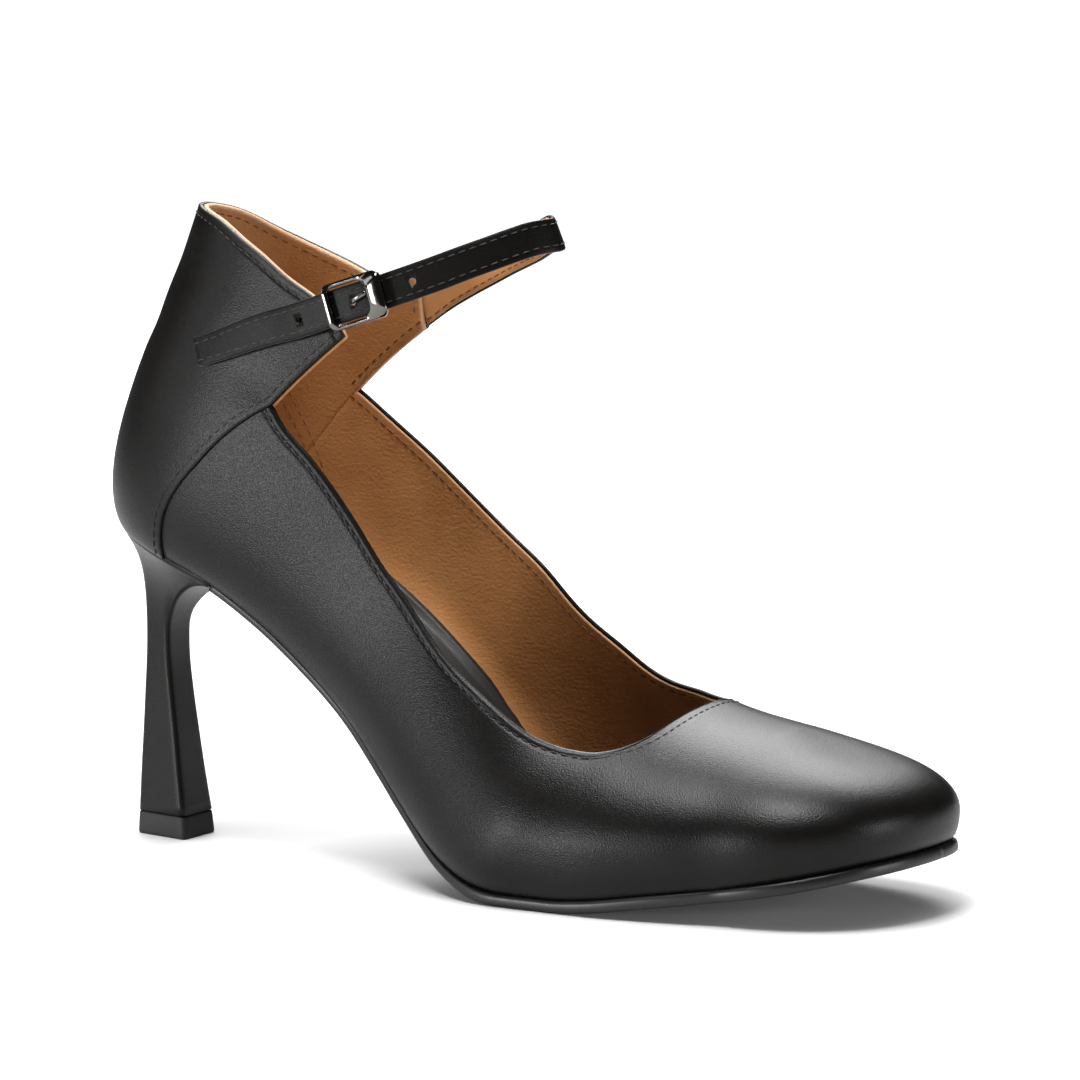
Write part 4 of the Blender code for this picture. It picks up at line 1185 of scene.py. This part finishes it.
def stitches(name, lines, material, wide=THREAD):
    """Stitches along lines; each line is its points and the directions that they face."""
    places, outs, edges = [], [], []
    for points, facing in lines:
        start = len(places)
        places += [tuple(p - [TIP_BEHIND, 0, 0]) for p in points]
        outs += [tuple(v) for v in facing]
        edges += [(start + k, start + k + 1) for k in range(len(points) - 1)]
    mesh = bpy.data.meshes.new(name)
    mesh.from_pydata(places, edges, [])
    out = mesh.attributes.new("out", "FLOAT_VECTOR", "POINT")
    out.data.foreach_set("vector", np.array(outs, np.float32).ravel())
    item = bpy.data.objects.new(name, mesh)
    bpy.context.scene.collection.objects.link(item)
    row = item.modifiers.new("stitches", "NODES")
    row.node_group = STITCH_TREE
    sockets = {s.name: s.identifier for s in STITCH_TREE.interface.items_tree if s.in_out == "INPUT"}
    for label, value in (("Pitch", STITCH_PITCH), ("Stitch Length", STITCH_LONG), ("Thread Width", wide),
                         ("Seed", 3), ("Thread", material)):
        row[sockets[label]] = value
    return keep_result(item)


def line_on(side, ats, ups, height):
    """Points over the last at stations and rib shares, and the directions that they face."""
    ats, ups = np.asarray(ats, float), np.asarray(ups, float)
    near = .003
    along = SURFACE[side].read(ats + near, ups) - SURFACE[side].read(ats - near, ups)
    rise = SURFACE[side].read(ats, ups + near) - SURFACE[side].read(ats, ups - near)
    facing = np.cross(along, rise)*-side
    facing /= np.linalg.norm(facing, axis=1)[:, None]
    return SURFACE[side].read(ats, ups) + facing*height, facing*np.sign(height or 1)


def topline_line(side, down, height):
    """A line below the top edge of quarter and vamp, from the seam to the middle of the throat."""
    throat_end = .7499
    feet = np.linspace(SEAM_FOOT, throat_end, 260)
    ats = [topline(half(side) + "_at", foot) for foot in feet]
    ups = [topline(half(side) + "_up", foot) for foot in feet]
    points, facing = line_on(side, ats, ups, height)
    ahead = np.gradient(points, axis=0)
    ahead /= np.linalg.norm(ahead, axis=1)[:, None]
    inward = np.cross(ahead, facing*np.sign(height or 1))*side
    return points - inward*down, facing


# Leathers, metal and thread
def group_tree(name, inputs, outputs):
    tree = bpy.data.node_groups.new(name, "ShaderNodeTree")
    for label, kind, value in inputs:
        socket = tree.interface.new_socket(label, in_out="INPUT", socket_type=kind)
        if value is not None:
            socket.default_value = value
    for label, kind in outputs:
        tree.interface.new_socket(label, in_out="OUTPUT", socket_type=kind)
    return tree, tree.nodes.new("NodeGroupInput"), tree.nodes.new("NodeGroupOutput")


def maths(tree, operation, first, second=None, clamp=False):
    node = tree.nodes.new("ShaderNodeMath")
    node.operation = operation
    node.use_clamp = clamp
    for k, value in enumerate((first, second)):
        if value is None:
            continue
        if isinstance(value, (int, float)):
            node.inputs[k].default_value = value
        else:
            tree.links.new(value, node.inputs[k])
    return node.outputs[0]


def noise(tree, vector, scale, detail=3.0, rough=0.55):
    node = tree.nodes.new("ShaderNodeTexNoise")
    node.inputs["Scale"].default_value = scale
    node.inputs["Detail"].default_value = detail
    node.inputs["Roughness"].default_value = rough
    tree.links.new(vector, node.inputs["Vector"])
    return node.outputs["Fac"]


def leather_grain():
    """Pebbled grain and fine wrinkles: a height, its hollows and slow clouds."""
    tree, given, out = group_tree("leather_grain", (
        ("Vector", "NodeSocketVector", None), ("Pebble Size", "NodeSocketFloat", .0006),
        ("Wrinkle Share", "NodeSocketFloat", .3)),
        (("Height", "NodeSocketFloat"), ("Hollows", "NodeSocketFloat"), ("Clouds", "NodeSocketFloat")))
    link = tree.links.new
    scale = maths(tree, "DIVIDE", 1.0, given.outputs["Pebble Size"])
    cells = tree.nodes.new("ShaderNodeTexVoronoi")
    cells.feature = "SMOOTH_F1"
    cells.inputs["Smoothness"].default_value = .6
    link(given.outputs["Vector"], cells.inputs["Vector"])
    link(scale, cells.inputs["Scale"])
    pebbles = maths(tree, "SUBTRACT", 1.0, cells.outputs["Distance"], True)
    spread = tree.nodes.new("ShaderNodeMapping")
    spread.inputs["Rotation"].default_value = (0.2, math.radians(38), 0.5)
    spread.inputs["Scale"].default_value = (1.0, 1.0, 3.6)
    link(given.outputs["Vector"], spread.inputs["Vector"])
    lines = noise(tree, spread.outputs["Vector"], 420, 4.0, .6)
    share = given.outputs["Wrinkle Share"]
    height = maths(tree, "ADD", maths(tree, "MULTIPLY", pebbles, maths(tree, "SUBTRACT", 1.0, share)),
                   maths(tree, "MULTIPLY", lines, share))
    link(height, out.inputs["Height"])
    link(maths(tree, "SUBTRACT", 1.0, height, True), out.inputs["Hollows"])
    link(noise(tree, given.outputs["Vector"], 60, 3.0), out.inputs["Clouds"])
    return tree


def edge_shade():
    """Masks beside a cut or folded edge, from the distance below it."""
    tree, given, out = group_tree("edge_shade", (("Distance", "NodeSocketFloat", .02),
                                                 ("Width", "NodeSocketFloat", .0012),
                                                 ("Roughened", "NodeSocketFloat", 0.0)),
                                  (("Edge", "NodeSocketFloat"), ("Below", "NodeSocketFloat")))
    link = tree.links.new
    frayed = maths(tree, "MULTIPLY", given.outputs["Roughened"], -.0004)
    shaken = maths(tree, "ADD", given.outputs["Distance"], frayed)
    share = maths(tree, "DIVIDE", shaken, given.outputs["Width"])
    edge = maths(tree, "SUBTRACT", 1.0, share, True)
    link(edge, out.inputs["Edge"])
    link(maths(tree, "SUBTRACT", maths(tree, "DIVIDE", share, 3.0), .3, True), out.inputs["Below"])
    return tree


GRAIN = leather_grain()
EDGE_SHADE = edge_shade()


def new_material(name, color, roughness, coat=0.0, coat_rough=.3, metallic=0.0, specular=.5):
    material = bpy.data.materials.new(name)
    material.use_nodes = True
    shader = material.node_tree.nodes["Principled BSDF"]
    shader.inputs["Base Color"].default_value = (*color, 1)
    shader.inputs["Roughness"].default_value = roughness
    shader.inputs["Metallic"].default_value = metallic
    shader.inputs["Specular IOR Level"].default_value = specular
    shader.inputs["Coat Weight"].default_value = coat
    shader.inputs["Coat Roughness"].default_value = coat_rough
    material.diffuse_color = (*color, 1)
    return material, material.node_tree, shader


def object_place(tree):
    return tree.nodes.new("ShaderNodeTexCoord").outputs["Object"]


def blend(tree, share, low, high):
    node = tree.nodes.new("ShaderNodeMix")
    node.data_type = "RGBA"
    for key, value in ((6, low), (7, high)):
        if isinstance(value, tuple):
            node.inputs[key].default_value = (*value, 1)
        else:
            tree.links.new(value, node.inputs[key])
    tree.links.new(share, node.inputs[0])
    return node.outputs[2]


def span(tree, value, low, high, to_low, to_high):
    node = tree.nodes.new("ShaderNodeMapRange")
    for k, number in enumerate((low, high, to_low, to_high)):
        node.inputs[k + 1].default_value = number
    tree.links.new(value, node.inputs[0])
    return node.outputs[0]


def leather(name, light, dark, rough, pebble, wrinkle, depth, coat=0.0, coat_rough=.3, edge=None,
            specular=.5):
    """A leather of two close shades, with grain as a bump and an edge colour where it has one."""
    material, tree, shader = new_material(name, dark, sum(rough)/2, coat, coat_rough, specular=specular)
    grain = tree.nodes.new("ShaderNodeGroup")
    grain.node_tree = GRAIN
    grain.inputs["Pebble Size"].default_value = pebble
    grain.inputs["Wrinkle Share"].default_value = wrinkle
    tree.links.new(object_place(tree), grain.inputs["Vector"])
    color = blend(tree, span(tree, grain.outputs["Clouds"], .35, .65, 0, 1), dark, light)
    if edge:
        down = tree.nodes.new("ShaderNodeAttribute")
        down.attribute_name = "edge_down"
        shade = tree.nodes.new("ShaderNodeGroup")
        shade.node_tree = EDGE_SHADE
        shade.inputs["Width"].default_value = edge[0]
        tree.links.new(down.outputs["Fac"], shade.inputs["Distance"])
        tree.links.new(grain.outputs["Clouds"], shade.inputs["Roughened"])
        color = blend(tree, shade.outputs["Edge"], color, edge[1])
    tree.links.new(color, shader.inputs["Base Color"])
    tree.links.new(span(tree, grain.outputs["Hollows"], .2, .8, *rough), shader.inputs["Roughness"])
    bump = tree.nodes.new("ShaderNodeBump")
    bump.inputs["Strength"].default_value = 1.0
    bump.inputs["Distance"].default_value = depth
    tree.links.new(grain.outputs["Height"], bump.inputs["Height"])
    tree.links.new(bump.outputs["Normal"], shader.inputs["Normal"])
    return material


def dull(name, color, rough, size, depth, coat=0.0, metallic=0.0):
    """A plain finish with a faint uneven surface."""
    material, tree, shader = new_material(name, color, rough, coat, metallic=metallic)
    uneven = noise(tree, object_place(tree), 1/size, 4.0, .6)
    spread = span(tree, uneven, .3, .7, max(rough - .05, .02), rough + .05)
    tree.links.new(spread, shader.inputs["Roughness"])
    bump = tree.nodes.new("ShaderNodeBump")
    bump.inputs["Strength"].default_value = 1.0
    bump.inputs["Distance"].default_value = depth
    tree.links.new(uneven, bump.inputs["Height"])
    tree.links.new(bump.outputs["Normal"], shader.inputs["Normal"])
    return material


BLACK_LIGHT, BLACK_DARK = (.0050, .0043, .0038), (.0028, .0024, .0021)
TAN_LIGHT, TAN_DARK = (.60, .285, .105), (.50, .225, .077)
FINE, WRINKLED = (.00032, .12), (.0008, .6)
UPPER_BLACK = leather("black_upper_leather", BLACK_LIGHT, BLACK_DARK, (.28, .44), *FINE, depth=.00007,
                      coat=.04, coat_rough=.30, specular=.24)
PANEL_BLACK = leather("black_rear_panel", BLACK_LIGHT, BLACK_DARK, (.28, .44), *FINE, depth=.00007,
                      coat=.04, coat_rough=.30, specular=.24, edge=(.00035, (.030, .027, .026)))
LINING_TAN = leather("tan_lining", TAN_LIGHT, TAN_DARK, (.42, .60), *WRINKLED, depth=.00018,
                     edge=(.0009, (.78, .50, .30)), specular=.4)
SOCK_BLACK = leather("black_sock", (.016, .015, .015), (.009, .009, .009), (.45, .62), .0005, .4,
                     depth=.00004)
STRAP_BLACK = leather("black_strap", BLACK_LIGHT, BLACK_DARK, (.34, .52), *FINE, depth=.00007,
                      coat=.02, specular=.17, edge=(.0008, (.060, .056, .054)))
STRAP_TAN = leather("tan_strap_lining", TAN_LIGHT, TAN_DARK, (.42, .60), *WRINKLED, depth=.00014,
                    specular=.4)
HEEL_BLACK = leather("black_heel_cover", BLACK_LIGHT, BLACK_DARK, (.30, .46), *FINE, depth=.00006,
                     coat=.05, coat_rough=.28, specular=.26)
SOLE_BLACK = dull("black_sole", (.007, .0065, .0065), .42, .0009, .00002, coat=.1)
TIP_BLACK = dull("black_rubber", (.018, .018, .018), .62, .0006, .00004)
NICKEL_DARK = dull("dark_nickel", (.20, .19, .18), .12, .0030, .000004, metallic=1.0)
THREAD_BLACK = dull("black_thread", (.018, .017, .017), .55, .0003, .00002)
THREAD_GREY = dull("strap_thread", (.030, .028, .027), .55, .0003, .00002)
THREAD_TAN = dull("tan_thread", (.26, .11, .035), .55, .0003, .00002)
THREAD_BROWN = dull("brown_thread", (.13, .050, .014), .55, .0003, .00002)


# Pieces in place
def fasten(item, nodes):
    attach(item, "root")
    if nodes:
        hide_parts(*nodes)


fasten(quarters_and_vamp(UPPER_BLACK), ("upper",))
fasten(rear_panel(PANEL_BLACK), ("upper",))
for item in lining(LINING_TAN):
    fasten(item, ("upper",))
fasten(sock_sheet(SOCK_BLACK), ("insole",))
fasten(outsole(SOLE_BLACK), ("outsole",))
fasten(heel_block(HEEL_BLACK), ("heel",))
fasten(heel_tip(TIP_BLACK), ("top_piece",))

holes = hole_places()
strap_face = strap_band("strap_face", STRAP_BLACK, FACE_THICK, (FACE_THICK - STRAP_THICK)/2, 0)
strap_lining = strap_band("strap_lining", STRAP_TAN, FACE_LINING, (STRAP_THICK - FACE_LINING)/2, FACE_TURN)
for item in (strap_face, strap_lining):
    punch(item, holes, HOLE_WIDE/2)
    fasten(item, ("ankle_strap",))
tab_start = SIDE_RUN - TAB_AHEAD
loop = strap_band("buckle_tab", STRAP_BLACK, TAB_THICK, STRAP_THICK/2 + GAP + TAB_THICK/2, 0,
                  start=tab_start, end=tab_start + TAB_LONG, wide=TAB_WIDE, count=40)
fasten(loop, ("buckle_loop",))
buckle = BucklePlace()
fasten(buckle_frame(buckle, NICKEL_DARK), ("buckle_frame",))
fasten(buckle_prong(buckle, NICKEL_DARK), ("buckle_prong",))


# Rows of stitches
def seam_line(side, back, height):
    """A line on the rear panel, a little behind its front edge."""
    rises = np.linspace(.03, 1, 120)
    corner_at, corner_up = topline(half(side) + "_at", SEAM_FOOT), topline(half(side) + "_up", SEAM_FOOT)
    ats = SEAM_FOOT + (corner_at - SEAM_FOOT)*bend_of(rises)
    points, facing = line_on(side, ats, corner_up*rises, height)
    return shifted(points, facing*np.sign(height), side, -back)


def wing_front(side, back, height):
    """A line behind the wing's front edge, from the corner of the seam to the wing's tip."""
    rises = np.linspace(0.02, .97, 80)
    corner_at, corner_up = topline(half(side) + "_at", SEAM_FOOT), topline(half(side) + "_up", SEAM_FOOT)
    high = float(COLLAR_EDGE[-1, COLLAR_COLUMNS.index(half(side))])
    points, facing = line_on(side, corner_at + (WING_TIP[half(side)] - corner_at)*rises,
                             corner_up + (high - corner_up)*rises, height)
    return shifted(points, facing*np.sign(height), side, -back)


def joint_line(aside, height):
    """The joint in the lining on the inner side, from under the wing down to the sock."""
    ups = np.linspace(.56, .08, 70)
    points, facing = line_on(1, JOINT_AT + (JOINT_UP - ups)*JOINT_SLANT, ups, height)
    return shifted(points, -facing, 1, aside)


def collar_line(side, down, height):
    """A line below the collar's edge, from the back line nearly to the wing's tip."""
    outs = np.linspace(0, .97, 160)
    ups = ease(COLLAR_EDGE, COLLAR_COLUMNS.index(half(side)), outs)
    points, facing = line_on(side, outs*WING_TIP[half(side)], ups, height)
    return shifted(points, facing*np.sign(height), side, down)


def shifted(points, facing, side, aside):
    """A line moved sideways over the surface: down from an upper edge or back from a front one."""
    ahead = np.gradient(points, axis=0)
    ahead /= np.linalg.norm(ahead, axis=1)[:, None]
    turn = np.cross(ahead, facing)
    return points + turn*aside*side*-1, facing


def strap_line(down, out_side):
    """A line along the strap, down from its upper edge, or up from its lower one when down is negative."""
    points, facing = [], []
    end_gap = .001
    for run in np.linspace(end_gap, RUN[-1] - end_gap, 260):
        middle, _, up, out, wide = strap_smooth(run)
        offset = wide/2 - abs(down)
        face = out*out_side
        points.append(middle + up*offset*np.sign(down) + face*(STRAP_THICK/2 + .00002))
        facing.append(face)
    return np.array(points), np.array(facing)


outer_rows = [topline_line(side, EDGE_STITCH, STITCH_ABOVE) for side in (-1, 1)]
fasten(stitches("topline_stitches", outer_rows, THREAD_BLACK), ())
raised = PANEL_THICK + STITCH_ABOVE
panel_rows = [seam_line(side, SEAM_STITCH, raised) for side in (-1, 1)]
panel_rows += [wing_front(side, SEAM_STITCH, raised) for side in (-1, 1)]
panel_rows += [collar_line(side, EDGE_STITCH, raised) for side in (-1, 1)]
fasten(stitches("panel_stitches", panel_rows, THREAD_BLACK), ())
deep = -(LEATHER + LINING + .0001)
inner_rows = [topline_line(side, EDGE_STITCH + LINING_DOWN*.4, deep) for side in (-1, 1)]
inner_rows += [collar_line(side, EDGE_STITCH, deep) for side in (-1, 1)]
inner_rows += [wing_front(side, SEAM_STITCH, deep) for side in (-1, 1)]
fasten(stitches("lining_stitches", inner_rows, THREAD_BROWN, wide=THREAD_HEAVY), ())
joint_rows = [joint_line(aside, deep) for aside in (-.0014, .0014)]
fasten(stitches("lining_joint_stitches", joint_rows, THREAD_TAN, wide=THREAD_HEAVY), ())
strap_rows = [strap_line(down, 1) for down in (STRAP_STITCH, -STRAP_STITCH)]
fasten(stitches("strap_stitches", strap_rows, THREAD_GREY), ())
inside_rows = [strap_line(down, -1) for down in (STRAP_STITCH, -STRAP_STITCH)]
fasten(stitches("strap_lining_stitches", inside_rows, THREAD_BROWN), ())


# Floor, light and camera
def light_box(name, place, target, wide, high, power):
    lamp = bpy.data.lights.new(name, "AREA")
    lamp.shape = "RECTANGLE"
    lamp.size, lamp.size_y = wide, high
    lamp.energy = power
    item = bpy.data.objects.new(name, lamp)
    item.location = place
    item.rotation_euler = (Vector(target) - Vector(place)).to_track_quat("-Z", "Y").to_euler()
    bpy.context.scene.collection.objects.link(item)


def studio():
    """White paper and a white surround, whose own glow only the camera sees, with a painted contact shadow
    where that glow fades out under the shoe, and five light boxes.
    """
    bpy.ops.mesh.primitive_plane_add(size=60, location=(0, 0, 0))
    floor = bpy.context.object
    floor.name = "floor"
    paper, tree, shader = new_material("white_paper", (.68, .68, .68), .9)
    shader.inputs["Emission Color"].default_value = (1, 1, 1, 1)
    seen = tree.nodes.new("ShaderNodeLightPath").outputs["Is Camera Ray"]
    far = tree.nodes.new("ShaderNodeVectorMath")
    far.operation = "LENGTH"
    tree.links.new(object_place(tree), far.inputs[0])
    paper_white = span(tree, far.outputs["Value"], .25, 1.0, .54, 1.0)
    contact_shadow_occlusion = tree.nodes.new("ShaderNodeAmbientOcclusion")  # painted contact shadow: the paper's glow fades out where the shoe is close above
    contact_shadow_occlusion.samples = 6
    contact_shadow_occlusion.inputs["Distance"].default_value = .045
    painted_contact_shadow_mask = span(tree, contact_shadow_occlusion.outputs["AO"], .45, .95, .05, 1.0)
    # the paper's glow times the painted contact shadow
    glow = maths(tree, "MULTIPLY", paper_white, painted_contact_shadow_mask)
    tree.links.new(maths(tree, "MULTIPLY", seen, glow), shader.inputs["Emission Strength"])
    floor.data.materials.append(paper)
    world = bpy.data.worlds.new("studio")
    world.use_nodes = True
    sky = world.node_tree
    sky.nodes["Background"].inputs["Color"].default_value = (1, 1, 1, 1)
    seen = sky.nodes.new("ShaderNodeLightPath").outputs["Is Camera Ray"]
    sky.links.new(span(sky, seen, 0, 1, .03, 1.0), sky.nodes["Background"].inputs["Strength"])
    bpy.context.scene.world = world
    light_box("top_box", (.05, -.22, 1.15), (.08, 0, .03), .45, .50, 16)
    light_box("left_box", (-1.10, -.68, .60), (.08, 0, .05), .50, .80, 2.5)
    light_box("low_box", (-.52, -1.20, .11), (.03, 0, .08), .34, .18, 8)
    light_box("right_box", (1.20, .16, .24), (.10, 0, .10), .24, .34, 3.2)
    light_box("back_box", (-.35, .86, .88), (.14, 0, .04), .80, .55, 14)


def camera():
    """A long lens that looks straight along the azimuth and elevation of the photograph."""
    lens = bpy.data.cameras.new("camera")
    lens.lens, lens.sensor_width = LENS, SENSOR
    lens.clip_end = 100
    item = bpy.data.objects.new("camera", lens)
    back = Vector((math.sin(AZIMUTH)*math.cos(ELEVATION), -math.cos(AZIMUTH)*math.cos(ELEVATION),
                   math.sin(ELEVATION)))
    item.location = CAMERA_PLACE
    item.rotation_euler = back.to_track_quat("Z", "Y").to_euler()
    bpy.context.scene.collection.objects.link(item)
    bpy.context.scene.camera = item


studio()
camera()
bpy.context.scene.view_settings.view_transform = "Standard"
